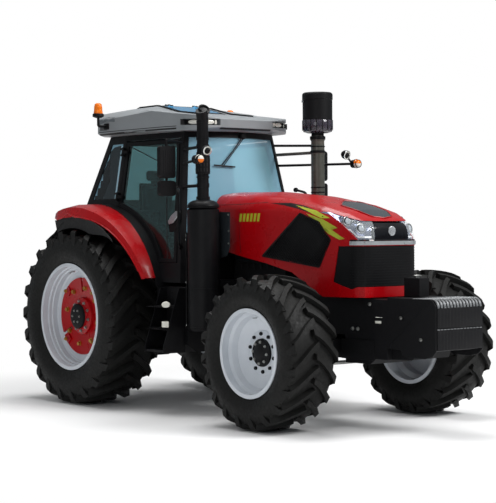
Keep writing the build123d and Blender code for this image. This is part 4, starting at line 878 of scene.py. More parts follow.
class TRACTOR_OT_wheels(bpy.types.Operator):
    """Hub covers, bolts, clamps and valves of the four wheels"""

    bl_idname = "tractor.wheels"
    bl_label = "Wheels"

    def execute(self, context):
        sizes = context.scene.tractor_wheels
        repeat = round_axle_tree()
        for side_name, side in SIDES:
            self.rear(f"rear_{side_name}", side, sizes, repeat)
            self.front(f"front_{side_name}", side, sizes, repeat)
        return {"FINISHED"}

    def hub(self, box, side):
        """Centre of a wheel on the middle plane, and the place of its outer face."""
        low, high = box
        return Vector((mean(low.x, high.x), 0, mean(low.z, high.z))), high.y if side > 0 else low.y

    def rings(self, name, centre, repeat, table):
        """Shapes repeated round a wheel, from rows of label, shape, count, phase and finish."""
        for label, shape, count, phase, material in table:
            values = {"Count": count, "Phase": phase, "Centre": tuple(centre)}
            run_tree(f"{name}_{label}", shape, repeat, values, material, f"{name}_wheel")

    def valve(self, name, centre, path, r):
        """Valve stem on a rim."""
        stem = moved(tube(path, r, 8), Matrix.Translation(centre))
        piece(f"{name}_valve", *stem, "zinc_plated_steel", f"{name}_wheel")

    def rear(self, name, side, sizes, repeat):
        centre, face = self.hub(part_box(f"{name}_wheel_centre"), side)
        y = lambda out: face + side * out
        out = Vector((0, side, 0))
        cover = [(0.0, y(0.012)), (0.09, y(0.010)), (0.118, y(0.006)), (0.129, y(-0.002)),
            (0.132, y(-0.012)), (0.132, y(-0.05))]
        piece(f"{name}_hub_cover", *turned(cover, centre, "Y", 48), "painted_casting",
            f"{name}_wheel")
        clamp = moved(block((-0.035, 0.035), (-0.004, 0.03), (0.32, 0.4)),
            Matrix.Translation((0, y(-0.056), 0)))
        self.rings(name, centre, repeat, (("hub_bolts",
            hexagon_head((0.155, y(-0.044), 0), out, 0.024, 0.018), sizes.hub_bolts, 0.2,
            "zinc_plated_steel"), ("cap_bolts", hexagon_head((0.066, y(0.010), 0), out, 0.016,
            0.011), 6, 0.0, "zinc_plated_steel"), ("disc_bolts",
            hexagon_head((0.3, y(-0.075), 0), out, 0.038, 0.028), sizes.rear_bolts, 0.2,
            "yellow_zinc_steel"), ("clamps", clamp, 4, 0.8, "red_enamel"),
            ("clamp_bolts", hexagon_head((0.0, y(-0.026), 0.36), out, 0.03, 0.02), 4, 0.8,
            "yellow_zinc_steel")))
        self.valve(name, centre, [(0, y(0.02), 0.47), (0, y(0.06), 0.47), (0, y(0.085), 0.45)],
            0.006)

    def front(self, name, side, sizes, repeat):
        centre, face = self.hub(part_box(f"{name}_hub"), side)
        y = lambda out: face + side * out
        out = Vector((0, side, 0))
        cover = [(0.0, y(0.03)), (0.05, y(0.028)), (0.075, y(0.012)), (0.082, y(0.003)),
            (0.11, y(0.002)), (0.126, y(-0.012)), (0.128, y(-0.03)), (0.09, y(-0.03))]
        piece(f"{name}_hub_cover", *turned(cover, centre, "Y", 40), "painted_casting",
            f"{name}_wheel")
        self.rings(name, centre, repeat, (("hub_bolts",
            hexagon_head((0.097, y(0.002), 0), out, 0.018, 0.013), 8, 0.1, "zinc_plated_steel"),
            ("wheel_nuts", hexagon_head((0.172, y(-0.037), 0), out, 0.03, 0.026), sizes.hub_bolts,
            0.25, "painted_casting")))
        flange = [(0.128, y(-0.040)), (0.198, y(-0.040)), (0.204, y(-0.034)), (0.198, y(-0.030)),
            (0.128, y(-0.030)), (0.128, y(-0.040))]
        piece(f"{name}_disc_ring", *turned(flange, centre, "Y", 48), "wheel_enamel",
            f"{name}_wheel")
        self.valve(name, centre, [(0, y(0.03), 0.315), (0, y(0.08), 0.315)], 0.005)


# ------------------------------------------------------------------ hood
SIDE_MESH = ((2800, 1960), (2255, 1558), (3057, 1463), (3200, 1713), (3050, 1880))
LAMP_TOP = ((3165, 1962), (3330, 1924), (3480, 1885), (3600, 1864))
LAMP_LOW = ((3165, 1950), (3325, 1868), (3465, 1748), (3500, 1714), (3600, 1714))
LAMP_MIDDLE = 1790         # a height inside the band of lamps at every station, mm
LAMP_END = 1.36            # turn from straight ahead at which the lamps end
NOSE_TURN = 3060           # rays round the nose run to this station on the centre line
HOOD_PARTS = ("hood_shell", "hood_grilles", "headlights")


def on_nose(tree, turn, z):
    """Surface point and outward direction at an angle from straight ahead and a height."""
    centre = spot(NOSE_TURN, 0, z)
    out = Vector((cos(turn), sin(turn), 0))
    return laid(tree, centre + out * 1.2, -out)


def band_limit(table, x):
    return interpolated(table, x)[0]


def nose_band(tree, turns, low, high, rows, sink=0.0):
    """Rows of points round the nose between two heights, which may be tables over the station."""
    result = []
    for turn in turns:
        at_low = at_high = LAMP_MIDDLE
        for _ in range(4):
            low_x = (on_nose(tree, turn, at_low)[0] - ORIGIN).x * 1000
            high_x = (on_nose(tree, turn, at_high)[0] - ORIGIN).x * 1000
            at_low = low if isinstance(low, (int, float)) else band_limit(low, low_x)
            at_high = high if isinstance(high, (int, float)) else band_limit(high, high_x)
        column = []
        for k in range(rows + 1):
            hit, normal = on_nose(tree, turn, lerp(at_low, at_high, k / rows))
            column.append(hit - normal * sink)
        result.append(column)
    return result


def shell(front, back):
    """Closed shape between two matching grids of points."""
    count, width = len(front), len(front[0])
    verts, faces = joined(grid(front), grid(back))
    half = count * width
    rim = [(i, 0) for i in range(count)] + [(count - 1, j) for j in range(1, width)]
    rim += [(i, width - 1) for i in range(count - 2, -1, -1)] + [(0, j)
        for j in range(width - 2, 0, -1)]
    for (i, j), (k, m) in zip(rim, rim[1:] + rim[:1]):
        a, b = i * width + j, k * width + m
        faces.append((a, b, b + half, a + half))
    return verts, faces


def nose_plate(tree, turns, low, high, rows, front, back):
    """Closed band round the nose between two depths."""
    return shell(nose_band(tree, turns, low, high, rows, front),
        nose_band(tree, turns, low, high, rows, back))


def spread(low, high, count):
    return [lerp(low, high, i / count) for i in range(count + 1)]


class TRACTOR_hood(bpy.types.PropertyGroup):
    slats: IntProperty(name="Slats", description="Slats across the nose", default=15, min=2)
    panel_turn: FloatProperty(name="Centre panel",
        description="Half angle of the black panel between the lamps", unit="ROTATION",
        default=radians(22))
    lens: FloatProperty(name="Projector lens", description="Radius of a projector lens",
        unit="LENGTH", default=0.036)


class TRACTOR_OT_hood(bpy.types.Operator):
    """Stripes, meshes, seams and vent of the hood"""

    bl_idname = "tractor.hood"
    bl_label = "Hood"

    def execute(self, context):
        sizes = context.scene.tractor_hood
        tree = skin(*HOOD_PARTS)
        for side_name, side in SIDES:
            self.stripes(side_name, side, tree)
            self.side_mesh(side_name, side, tree)
        self.nose(sizes, tree)
        self.vent(tree)
        return {"FINISHED"}

    def stripes(self, side_name, side, tree):
        black = ((2340, 2066), (2620, 2062), (2800, 2036), (3000, 1984), (3140, 1930), (3080, 1918),
            (2930, 1964), (2740, 2008), (2560, 2040))
        piece(f"stripe_{side_name}", *on_side(tree, black, side), "grained_abs", "hood")
        bolts = [((2700, 2040), (3000, 1984), (3190, 1912), (3060, 1930), (3090, 1912), (2890, 1980),
            (2905, 1998)), ((2880, 1962), (3110, 1902), (3290, 1822), (3200, 1832), (3225, 1806),
            (3060, 1868), (3075, 1888)), ((3040, 1872), (3200, 1816), (3370, 1722), (3290, 1742),
            (3315, 1714), (3170, 1772), (3185, 1792))]
        shapes = [on_side(tree, outline, side, lift=0.0022) for outline in bolts]
        piece(f"flash_{side_name}", *joined(*shapes), "yellow_green_vinyl", "hood")
        bars = []
        for k in range(6):
            x = 1900 + k * 55
            bars.append(on_side(tree, [(x, 1892), (x + 34, 1892), (x + 50, 1970), (x + 16, 1970)],
                side))
        piece(f"mark_{side_name}", *joined(*bars), "yellow_green_vinyl", "hood")
        seam = stroke([(1905, 2062), (1896, 1900), (1902, 1760), (1925, 1580)], 5)
        rim = stroke([(1560, 2060), (1900, 2063), (2300, 2074)], 4)
        piece(f"hood_seam_{side_name}", *joined(on_side(tree, seam, side, lift=0.0008),
            on_side(tree, rim, side, lift=0.0008)), "seal_rubber", "hood")

    def side_mesh(self, side_name, side, tree):
        """Frame round the side opening and crossed wires over it."""
        ring = list(SIDE_MESH) + [SIDE_MESH[0]]
        edges = [on_side(tree, stroke([a, b], 16), side, lift=0.004) for a,
            b in zip(ring, ring[1:])]
        wires = []
        for slope in (0.9, -0.9):
            for start in range(0, 2200, 34):
                line = self.clipped(2255 - 600 + start, slope)
                if line:
                    wires.append(on_side(tree, stroke(line, 5), side, lift=0.002, depth=0.001,
                        step=0.3))
        piece(f"side_mesh_{side_name}", *joined(*edges, *wires), "grained_abs", "hood")

    def clipped(self, start_x, slope):
        """Part of a slanting line that lies inside the side opening."""
        crossings = []
        base_z = 1700
        for (x0, z0), (x1, z1) in zip(SIDE_MESH, SIDE_MESH[1:] + SIDE_MESH[:1]):
            gap0 = z0 - base_z - slope * (x0 - start_x)
            gap1 = z1 - base_z - slope * (x1 - start_x)
            if gap0 * gap1 < 0:
                t = gap0 / (gap0 - gap1)
                crossings.append((lerp(x0, x1, t), lerp(z0, z1, t)))
        if len(crossings) < 2 or hypot(crossings[0][0] - crossings[1][0], crossings[0][1]
                - crossings[1][1]) < 30:
            return None
        return sorted(crossings)[:2]

    def nose(self, sizes, tree):
        """Grey bar and black lip under the lamps, and the slats of the radiator opening."""
        turns = spread(-0.80, 0.80, 56)
        bar = nose_plate(tree, turns, 1664, 1700, 3, -0.012, 0.004)
        piece("nose_bar", *bar, "light_grey_trim", "hood")
        slats = []
        opening = (1284, 1648)
        for k in range(sizes.slats):
            z = lerp(*opening, (k + 0.5) / sizes.slats)
            turns = spread(-0.8, 0.8, 30)
            slats.append(nose_plate(tree, turns, z - 5, z + 5, 1, -0.006, 0.003))
        piece("nose_slats", *joined(*slats), "grained_abs", "hood")
        lip = nose_plate(tree, turns, 1702, 1714, 1, -0.006, 0.004)
        piece("nose_lip", *lip, "black_acrylic", "hood")

    def vent(self, tree):
        """Dark scoop let into the top, with its rim."""
        outline = [(2960, -165), (2930, 0), (2960, 165), (3120, 200), (3330, 184), (3455, 128),
            (3490, 0), (3455, -128), (3330, -184), (3120, -200)]
        smooth = rounded_loop(outline, 60)
        flat = [spot(p.x, p.y, 3000) for p in smooth]
        down = (0, 0, -1)
        piece("top_vent", *draped(tree, flat, down, lift=0.003), "smoked_acrylic", "hood")
        loop = [laid(tree, p, down)[0] + Vector((0, 0, 0.004)) for p in flat]
        piece("top_vent_rim", *tube(loop + loop[:1], 0.006, 8), "red_enamel", "hood")


class TRACTOR_OT_headlamps(bpy.types.Operator):
    """Lamps in the nose: cover, housing, projectors, light strips and centre panel"""

    bl_idname = "tractor.headlamps"
    bl_label = "Headlamps"

    def execute(self, context):
        sizes = context.scene.tractor_hood
        tree = skin(*HOOD_PARTS)
        for side_name, side in SIDES:
            turns = spread(side * sizes.panel_turn, side * LAMP_END, 40)
            front = nose_band(tree, turns, LAMP_LOW, LAMP_TOP, 6, 0.0)
            cover = piece(f"lamp_cover_{side_name}",
                *shell(front, nose_band(tree, turns, LAMP_LOW, LAMP_TOP, 6, 0.003)),
                "clear_polycarbonate", "hood")
            if side > 0:
                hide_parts("headlights")
            deep = nose_band(tree, turns, LAMP_LOW, LAMP_TOP, 6, 0.030)
            rows = [[front[i][0]] + deep[i] + [front[i][-1]] for i in range(len(front))]
            back = [[p - Vector((0.004, 0, 0)) for p in row] for row in rows]
            piece(f"lamp_housing_{side_name}", *shell(rows, back), "smoked_chrome", "hood")
            self.projectors(side_name, side, tree, sizes.lens)
            strip_turns = spread(side * (sizes.panel_turn + 0.05), side * 1.0, 30)
            rows = [[lerp(a, b, 0.10), lerp(a, b, 0.19)] for a,
                b in ((column[0], column[-1]) for column in nose_band(tree, strip_turns, LAMP_LOW,
                LAMP_TOP, 1, 0.010))]
            inner = [[p - Vector((0.008, 0, 0)) for p in row] for row in rows]
            piece(f"lamp_strip_{side_name}", *shell(rows, inner), "white_light_guide", "hood")
            tail = ((3040, 1972), (3110, 1972), (3185, 1960), (3320, 1925), (3320, 1872),
                (3180, 1942), (3100, 1958))
            piece(f"lamp_tail_{side_name}", *on_side(tree, tail, side, lift=0.0015), "smoked_chrome",
                "hood")
        turns = spread(-sizes.panel_turn, sizes.panel_turn, 20)
        panel = nose_plate(tree, turns, 1716, 1862, 5, -0.004, 0.008)
        piece("nose_panel", *panel, "black_acrylic", "hood")
        hit, out = on_nose(tree, 0, 1792)
        place = standing(hit + out * 0.004, out)
        disc = turned([(0, 0), (0.044, 0), (0.044, 0.005), (0.040, 0.008), (0.036, 0.0065),
            (0.02, 0.0085), (0, 0.009)], steps=40)
        piece("nose_disc", *moved(disc, place), "light_grey_trim", "hood")
        return {"FINISHED"}

    def projectors(self, side_name, side, tree, radius):
        """Two lenses, each in a bright bowl, and the small lamp nearest the middle."""
        bowls, lenses, rings = [], [], []
        for x, y, z, size in ((3400, 385, 1890, 1.0), (3488, 300, 1822, 1.0),
                (3330, 400, 1916, 0.6)):
            turn = atan2(side * y, x - NOSE_TURN)
            hit, out = on_nose(tree, turn, z)
            aim = (out + Vector((1.2, 0, 0))).normalized()
            place = standing(hit - out * 0.012, aim)
            r = radius * size
            lens = [(0, 0.010)] + [(r * 0.86 * sin(a), 0.010 * cos(a))
                for a in spread(0.2, pi / 2, 8)]
            lenses.append(moved(turned(lens + [(r * 0.86, -0.012), (0, -0.012)]), place))
            bowl = [(r * 0.86, -0.016), (r * 0.9, -0.002), (r * 1.25, 0.003), (r * 1.32, 0.0),
                (r * 1.3, -0.02), (r * 0.86, -0.016)]
            bowls.append(moved(turned(bowl), place))
            rings.append(moved(turned(ring_profile(r * 0.84, r * 0.92, -0.01, 0.004)), place))
        piece(f"lamp_bowls_{side_name}", *joined(*bowls), "vacuum_chrome", "hood")
        piece(f"lamp_rings_{side_name}", *joined(*rings), "grained_abs", "hood")
        piece(f"lamp_lenses_{side_name}", *joined(*lenses), "projector_glass", "hood")


# ------------------------------------------------------------------ lamps
def facing(place, aim):
    """Matrix that carries Z to the aim direction and the origin to the place."""
    aim = Vector(aim).normalized()
    side = Vector((0, 0, 1)).cross(aim)
    side = side.normalized() if side.length > 1e-3 else Vector((1, 0, 0))
    up = aim.cross(side)
    turn = Matrix((side, up, aim)).transposed().to_4x4()
    return Matrix.Translation(place) @ turn


def oval_lamp(name, place, aim, wide, high, body=CHASSIS, lens="clear_lens", deep=0.03):
    """Oval lamp: black cup, bright bowl and domed lens, facing along aim."""
    place = facing(place, aim) @ Matrix.Diagonal((wide, high, 1, 1))
    cup = turned([(0, -deep), (0.9, -deep), (1.08, -0.002), (1.08, 0.006), (1.0, 0.006),
        (0.96, -0.004), (0, -0.01)])
    bowl = turned([(0.3, -0.004), (0.6, -0.0035), (0.97, 0.005), (0.99, 0.003), (0.6, -0.006),
        (0.3, -0.006), (0.3, -0.004)])
    dome = [(0, 0.014)] + [(sin(a) * 0.98, 0.004 + 0.010 * cos(a)) for a in spread(0.15, pi / 2, 8)]
    glass = turned(dome + [(0.98, 0.003), (0, 0.003)])
    centre = turned([(0, 0.002), (0.28, 0.0), (0.3, -0.005), (0, -0.005)], steps=20)
    piece(f"{name}_cup", *moved(cup, place), "grained_abs", body)
    piece(f"{name}_bowl", *moved(joined(bowl, centre), place), "vacuum_chrome", body)
    piece(f"{name}_lens", *moved(glass, place), lens, body)


def rounded_bar(x, y, z, width, segments=3):
    """Box with its vertical and level edges cut to a small radius, as points and faces."""
    low, high = Vector((x[0], y[0], z[0])), Vector((x[1], y[1], z[1]))
    work = bmesh.new()
    bmesh.ops.create_cube(work, size=1.0)
    for vert in work.verts:
        vert.co = Vector([mean(a, b) + c * (b - a) for a, b, c in zip(low, high, vert.co)])
    bmesh.ops.bevel(work, geom=work.edges[:], offset=width, segments=segments, profile=0.5,
        affect="EDGES")
    verts = [v.co.copy() for v in work.verts]
    work.verts.index_update()
    faces = [tuple(v.index for v in face.verts) for face in work.faces]
    work.free()
    return verts, faces


def blocks(*rows):
    """Several rounded boxes as one shape, each given as for soft_block."""
    return joined(*[soft_block(*row) for row in rows])


def soft_block(x, y, z, width, segments=3):
    """The same, in millimetres from the ground under the rear axle."""
    low, high = spot(x[0], y[0], z[0]), spot(x[1], y[1], z[1])
    return rounded_bar((low.x, high.x), (low.y, high.y), (low.z, high.z), width / 1000, segments)


# ------------------------------------------------------------------ cab
class TRACTOR_OT_roof(bpy.types.Operator):
    """Work lamps, lamp pockets, seams and rails of the cab roof, and the beacons"""

    bl_idname = "tractor.roof"
    bl_label = "Roof"

    def execute(self, context):
        tree = skin("cab_roof")
        for side_name, side in SIDES:
            self.front_corner(side_name, side)
            self.rear_corner(side_name, side, tree)
            self.beacon(side_name, side)
        self.seams(tree)
        self.hatch()
        return {"FINISHED"}

    def front_corner(self, side_name, side):
        """Dark lining of the lamp pocket with its two oval lamps."""
        wall = ((1436, 352), (1396, 535), (1278, 622), (1278, 700))
        rows = []
        for x, y in wall:
            rows.append([spot(x, side * y, z) for z in (2870, 2928)])
        back = [[p - Vector((0.012, side * 0.012, 0)) for p in row] for row in rows]
        piece(f"roof_pocket_{side_name}", *shell(rows, back), "grained_abs")
        oval_lamp(f"roof_lamp_front_{side_name}", spot(1424, side * 448, 2899), (1, side * 0.22, 0),
            0.058, 0.024)
        oval_lamp(f"roof_lamp_side_{side_name}", spot(1343, side * 584, 2899), (0.62, side * 0.8, 0),
            0.056, 0.024)
        bar = soft_block((1430, 1446), sided(side, 366, 392), (2876, 2922), 4)
        piece(f"roof_marker_{side_name}", *bar, "clear_lens")

    def rear_corner(self, side_name, side, tree):
        """Darker sheet laid as the painted shade of a shallow recess, and an air grille, on the side
        of the roof.
        """
        # painted shade: this darker sheet stands where the roof has a shallow recess
        panel = stroke([(-95, 2962), (60, 2996), (210, 2982)], 46)
        piece(f"roof_recess_shade_{side_name}", *on_side(tree, panel, side, lift=0.0015), "silver_shadow")
        slots = [on_side(tree, stroke([(x, 2878), (x + 26, 2930)], 7), side, lift=0.002)
            for x in range(-70, 60, 18)]
        piece(f"roof_slots_{side_name}", *joined(*slots), "grained_abs")

    def seams(self, tree):
        """Groove between the roof's upper shell and its lower one, and the drip rail."""
        for side_name, side in SIDES:
            lines = []
            for z, thick in ((2862, 7), (2838, 16)):
                points = [(-120, z), (300, z), (760, z + 2), (1180, z + 2)]
                lines.append(on_side(tree, stroke(points, thick), side, lift=0.0012))
            piece(f"roof_seam_{side_name}", *joined(*lines), "seal_rubber")
        front = [spot(1800, y, z) for y, z in stroke([(-330, 2838), (0, 2838), (330, 2838)], 16)]
        piece("roof_seam_front", *draped(tree, front, (-1, 0, 0), lift=0.0012), "seal_rubber")

    def hatch(self):
        """Tinted panel of the roof hatch in its frame, and the rails beside it."""
        low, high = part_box("roof_hatch")
        tree = skin("roof_hatch")
        inset = 0.05
        flat = [Vector((x, y, 4)) for x, y in ((low.x + inset, low.y + inset),
            (high.x - inset, low.y + inset), (high.x - inset, high.y - inset),
            (low.x + inset, high.y - inset))]
        piece("hatch_pane", *draped(tree, flat, (0, 0, -1), lift=0.003), "blue_acrylic",
            "roof_hatch")
        roof = skin("cab_roof")
        for side_name, side in SIDES:
            path = []
            for x in range(-60, 1180, 60):
                hit = laid(roof, spot(x, side * 345, 4000), (0, 0, -1))[0]
                path.append(hit + Vector((0, 0, 0.007)))
            piece(f"roof_rail_{side_name}", *tube(path, 0.009, 10), "grained_abs")

    def beacon(self, side_name, side):
        """Amber dome with a ribbed foot on a bracket at the roof's edge."""
        centre = spot(62, side * 885, 0)
        z = level
        dome = [(0, z(3163)), (0.022, z(3161)), (0.036, z(3150)), (0.041, z(3128)), (0.043, z(3095)),
            (0.048, z(3064)), (0.048, z(3050)), (0, z(3050))]
        for k in range(3):
            ring_z = 3110 - 18 * k
            dome.insert(4 + 2 * k, (0.0445, z(ring_z)))
            dome.insert(5 + 2 * k, (0.042, z(ring_z - 8)))
        made = piece(f"beacon_dome_{side_name}", *turned(dome, centre * 1.0, "Z", 32),
            "amber_acrylic")
        if side > 0:
            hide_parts("beacons")
        foot = turned([(0, z(3050)), (0.056, z(3050)), (0.06, z(3042)), (0.06, z(3018)),
            (0.03, z(3006)), (0, z(3006))], centre, "Z", 32)
        post = tube([centre + Vector((0, 0, z(3010))), centre + Vector((0, 0, z(2918))),
            Vector((centre.x, centre.y - side * 0.11, z(2918)))], 0.014, 12, 0.02)
        base = soft_block((20, 104), sided(side, 770, 790), (2886, 2950), 4)
        piece(f"beacon_bracket_{side_name}", *joined(foot, post, base), "grained_abs")


class TRACTOR_OT_cab(bpy.types.Operator):
    """Seals, handles, handrails and wiper of the cab"""

    bl_idname = "tractor.cab"
    bl_label = "Cab"

    def execute(self, context):
        for side_name, side in SIDES:
            self.door(side_name, side)
            self.handrail(side_name, side)
            quarter = ((-322, 2150), (-60, 2640), (30, 2700), (165, 2715), (165, 2150))
            piece(f"quarter_shade_{side_name}", *on_side(skin("cab_windows"), quarter, side,
                lift=0.002), "smoked_glass")
        self.wiper()
        return {"FINISHED"}

    def door(self, side_name, side):
        """Rubber round the door glass, the grab plate and the latch."""
        body = f"{side_name}_door"
        glass = skin(f"{side_name}_door_glass")
        rim = self.outline(NODES[f"{side_name}_door_glass"].data)
        axle = spot(0, 0, AXLE_HEIGHT)
        first = next(i for i, p in enumerate(rim) if hypot(p.x - axle.x, p.z
            - axle.z) <= SEAL_REACH)
        order = rim[first:] + rim[:first]
        loop = [laid(glass, Vector((p.x, side * 3, p.z)), (0, -side, 0))[0]
            - Vector((0, side * 0.002, 0)) for p in order
            if hypot(p.x - axle.x, p.z - axle.z) > SEAL_REACH]
        piece(f"door_seal_{side_name}", *tube(loop, 0.005, 8), "seal_rubber", body)
        hit = laid(skin(body), spot(1236, side * OUTSIDE, 1900), (0, -side, 0))[0]
        plate = [(1130, 1905), (1180, 1960), (1262, 2004), (1300, 1990), (1286, 1946), (1214, 1886),
            (1142, 1872)]
        pad = [(1112, 1900), (1176, 1980), (1268, 2018), (1304, 1996), (1296, 1900), (1220, 1800),
            (1128, 1790)]
        for label, points, lift, thick, material, edge in (("handle", plate, 0.02, 0.014,
                "brushed_aluminium", 0.004), ("latch", pad, -0.012, 0.030, "grained_abs", 0.005)):
            flat = [Vector((station(x), hit.y + side * lift, level(z))) for x, z in points]
            made = piece(f"door_{label}_{side_name}", *slab(flat, side, thick), material, body)
            bevelled(made, edge, 2, 50)

    def outline(self, mesh):
        """Outer corner points of a flat plate seen from the side, in order."""
        points = sorted({(round(v.co.x, 4), round(v.co.z, 4)) for v in mesh.vertices})
        def half(items):
            chain = []
            for p in items:
                while len(chain) > 1 and ((chain[-1][0] - chain[-2][0]) * (p[1] - chain[-2][1])
                        - (chain[-1][1] - chain[-2][1]) * (p[0] - chain[-2][0])) <= 0:
                    chain.pop()
                chain.append(p)
            return chain[:-1]
        ring = half(points) + half(points[::-1])
        return [Vector((x, 0, z)) for x, z in ring]

    def handrail(self, side_name, side):
        """Black rail ahead of the door pillar."""
        path = [spot(1330, side * 770, 2230), spot(1420, side * 838, 2200),
            spot(1452, side * 862, 1700), spot(1400, side * 800, 1640)]
        piece(f"handrail_{side_name}", *tube(path, 0.013, 12, 0.05), "chassis_enamel")
        feet = [drum(p, 0.024, -0.012, 0.012, "X", 16) for p in (path[0], path[-1])]
        piece(f"handrail_feet_{side_name}", *joined(*feet), "chassis_enamel")

    def wiper(self):
        """Motor cover, arm and blade on the windscreen."""
        glass = skin("cab_windows")
        along = []
        for y, z in ((-330, 2470), (-250, 2465), (-170, 2460), (-90, 2455)):
            along.append(laid(glass, spot(2500, y, z), (-1, 0, 0))[0] + Vector((0.02, 0, 0)))
        pivot = laid(glass, spot(2500, 40, 2745), (-1, 0, 0))[0] + Vector((0.03, 0, 0.03))
        piece("wiper_arm", *joined(tube([pivot, mean(pivot, along[1]) + Vector((0.015, 0, 0)),
            along[1]], 0.006, 8), tube([pivot + Vector((0, 0.03, 0)), along[1]
            + Vector((0, 0.03, 0))], 0.004, 8)), "chassis_enamel")
        piece("wiper_blade", *tube(along, 0.008, 8), "seal_rubber")
        piece("wiper_cover", *turned([(0, -0.02), (0.034, -0.02), (0.034, 0.012), (0.026, 0.022),
            (0, 0.024)], pivot, "X", 24), "grained_abs")


# ------------------------------------------------------------------ seat and controls
class TRACTOR_seat(bpy.types.PropertyGroup):
    pressure: FloatProperty(name="Foam pressure", description="Push of the foam in the cover",
        default=4.0)


def cushion(name, x, y, z, puff, frames=20):
    """Foam block in a sewn cover, settled as cloth."""
    low, high = spot(x[0], y[0], z[0]), spot(x[1], y[1], z[1])
    verts, faces = rounded_bar((low.x, high.x), (low.y, high.y), (low.z, high.z), 0.03, 3)
    made = piece(name, verts, faces, "woven_seat_cloth", smooth=60)
    remesh = made.modifiers.new("cells", "REMESH")
    remesh.mode = "VOXEL"
    remesh.voxel_size = 0.006
    cloth_mesh = settled(made, puff, frames)
    if cloth_mesh is not None:
        old = made.data
        made.modifiers.clear()
        made.data = cloth_mesh
        bpy.data.meshes.remove(old)
        made.data.materials.clear()
        made.data.materials.append(bpy.data.materials["woven_seat_cloth"])
        soften_shading(made.data, 60)
    subdivision = made.modifiers.new("smooth", "SUBSURF")
    subdivision.levels = subdivision.render_levels = 1
    return made


def settled(made, puff, frames):
    """Mesh of the object after its cover has been pushed out as cloth, kept near where it began."""
    scene = bpy.context.scene
    cells = bpy.data.meshes.new_from_object(made.evaluated_get(bpy.context.evaluated_depsgraph_get()))
    copy = linked("settling", cells)
    start = [v.co.copy() for v in cells.vertices]
    cloth = copy.modifiers.new("cloth", "CLOTH")
    cloth.settings.quality = 5
    cloth.settings.use_pressure = True
    cloth.settings.uniform_pressure_force = bpy.context.scene.tractor_seat.pressure
    cloth.settings.effector_weights.gravity = 0
    cloth.settings.tension_stiffness = 25
    cloth.settings.compression_stiffness = 25
    cloth.settings.bending_stiffness = 2
    cloth.point_cache.frame_start = 1
    cloth.point_cache.frame_end = frames
    for number in range(1, frames + 1):
        scene.frame_set(number)
    result = bpy.data.meshes.new_from_object(copy.evaluated_get(bpy.context.evaluated_depsgraph_get()))
    bpy.data.objects.remove(copy)
    scene.frame_set(1)
    for vert, home in zip(result.vertices, start):
        move = vert.co - home
        if move.length > puff:
            move = move.normalized() * puff
        vert.co = home + move
    return result


class TRACTOR_OT_seat(bpy.types.Operator):
    """Driver's seat with its cushions, and the controls round it"""

    bl_idname = "tractor.seat"
    bl_label = "Seat"

    def execute(self, context):
        cushions = [cushion("seat_cushion", (-85, 425), (-225, 225), (1755, 1810), 0.022),
            cushion("seat_back", (-150, -85), (-215, 215), (1855, 2325), 0.022),
            cushion("seat_headrest", (-175, -125), (-120, 120), (2358, 2470), 0.022)]
        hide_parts("seat")
        pan = blocks(((-100, 435), (-235, 235), (1715, 1760), 14),
            ((-180, -146), (-205, 205), (1740, 2330), 14),
            ((-170, -150), (-50, 50), (2300, 2380), 6))
        piece("seat_shell", *pan, "grained_abs")
        base = blocks(((-60, 360), (-190, 190), (1331, 1400), 10),
            ((-70, 380), (-200, 200), (1660, 1716), 10))
        piece("seat_base", *base, "chassis_enamel")
        folds = []
        for k in range(6):
            z0 = 1400 + k * 43.3
            grow = 12 if k % 2 else 0
            folds.append(soft_block((-30 - grow, 330 + grow), (-165 - grow, 165 + grow),
                (z0, z0 + 43.3), 12, 2))
        piece("seat_bellows", *joined(*folds), "seal_rubber")
        arms = blocks(((-60, 290), (-300, -238), (1985, 2035), 18),
            ((-120, -70), (-262, -238), (1850, 2030), 8), ((-60, 230), (236, 251), (1985, 2030), 7),
            ((-120, -70), (236, 251), (1850, 2030), 7))
        piece("seat_arms", *arms, "seat_vinyl")
        console = blocks(((-40, 420), (-395, -310), (1331, 1830), 16),
            ((60, 440), (-398, -308), (1790, 1860), 14))
        piece("side_console", *console, "cab_lining")
        levers = []
        for k, x in enumerate((140, 215, 290, 365)):
            y = -352 + (k % 2) * 20
            levers.append(tube([spot(x, y, 1850), spot(x + 25, y, 1940 + 12 * k)], 0.006, 8))
            levers.append(drum(spot(x + 26, y, 1950 + 12 * k), 0.016, -0.022, 0.022, "Z", 16))
        piece("levers", *joined(*levers), "grained_abs")
        return {"FINISHED"}


class TRACTOR_OT_controls(bpy.types.Operator):
    """Display and dials of the dashboard, pedals, and the monitor on its post"""

    bl_idname = "tractor.controls"
    bl_label = "Controls"

    def execute(self, context):
        dash = skin("dashboard")
        hit, out = laid(dash, spot(1000, 0, 2600), (0.1, 0, -1))
        face = facing(hit + out * 0.004, out)
        panel = rounded_bar((-0.14, 0.14), (-0.07, 0.07), (-0.002, 0.006), 0.003, 1)
        piece("dash_display", *moved(panel, face), "black_acrylic")
        dials = []
        for a, b, r in ((-0.08, 0.0, 0.045), (0.08, 0.0, 0.045), (0.0, 0.02, 0.025)):
            dials.append(turned([(r * 0.9, 0.006), (r, 0.006), (r, 0.011), (r * 0.9, 0.011),
                (r * 0.9, 0.006)], (a, b, 0), "Z", 32))
        piece("dash_dials", *moved(joined(*dials), face), "vacuum_chrome")
        pedals = []
        for y in (-170, -95, 120):
            pedals.append(soft_block((1020, 1040), (y - 32, y + 32), (1372, 1452), 5))
            pedals.append(tube([spot(1035, y, 1410), spot(1140, y, 1350)], 0.01, 8))
        piece("pedals", *joined(*pedals), "chassis_enamel")
        post = joined(tube([spot(1290, -560, 1335), spot(1240, -520, 2150)], 0.018, 12),
            soft_block((1190, 1215), (-600, -450), (2080, 2230), 10))
        piece("monitor", *post, "grained_abs")
        return {"FINISHED"}


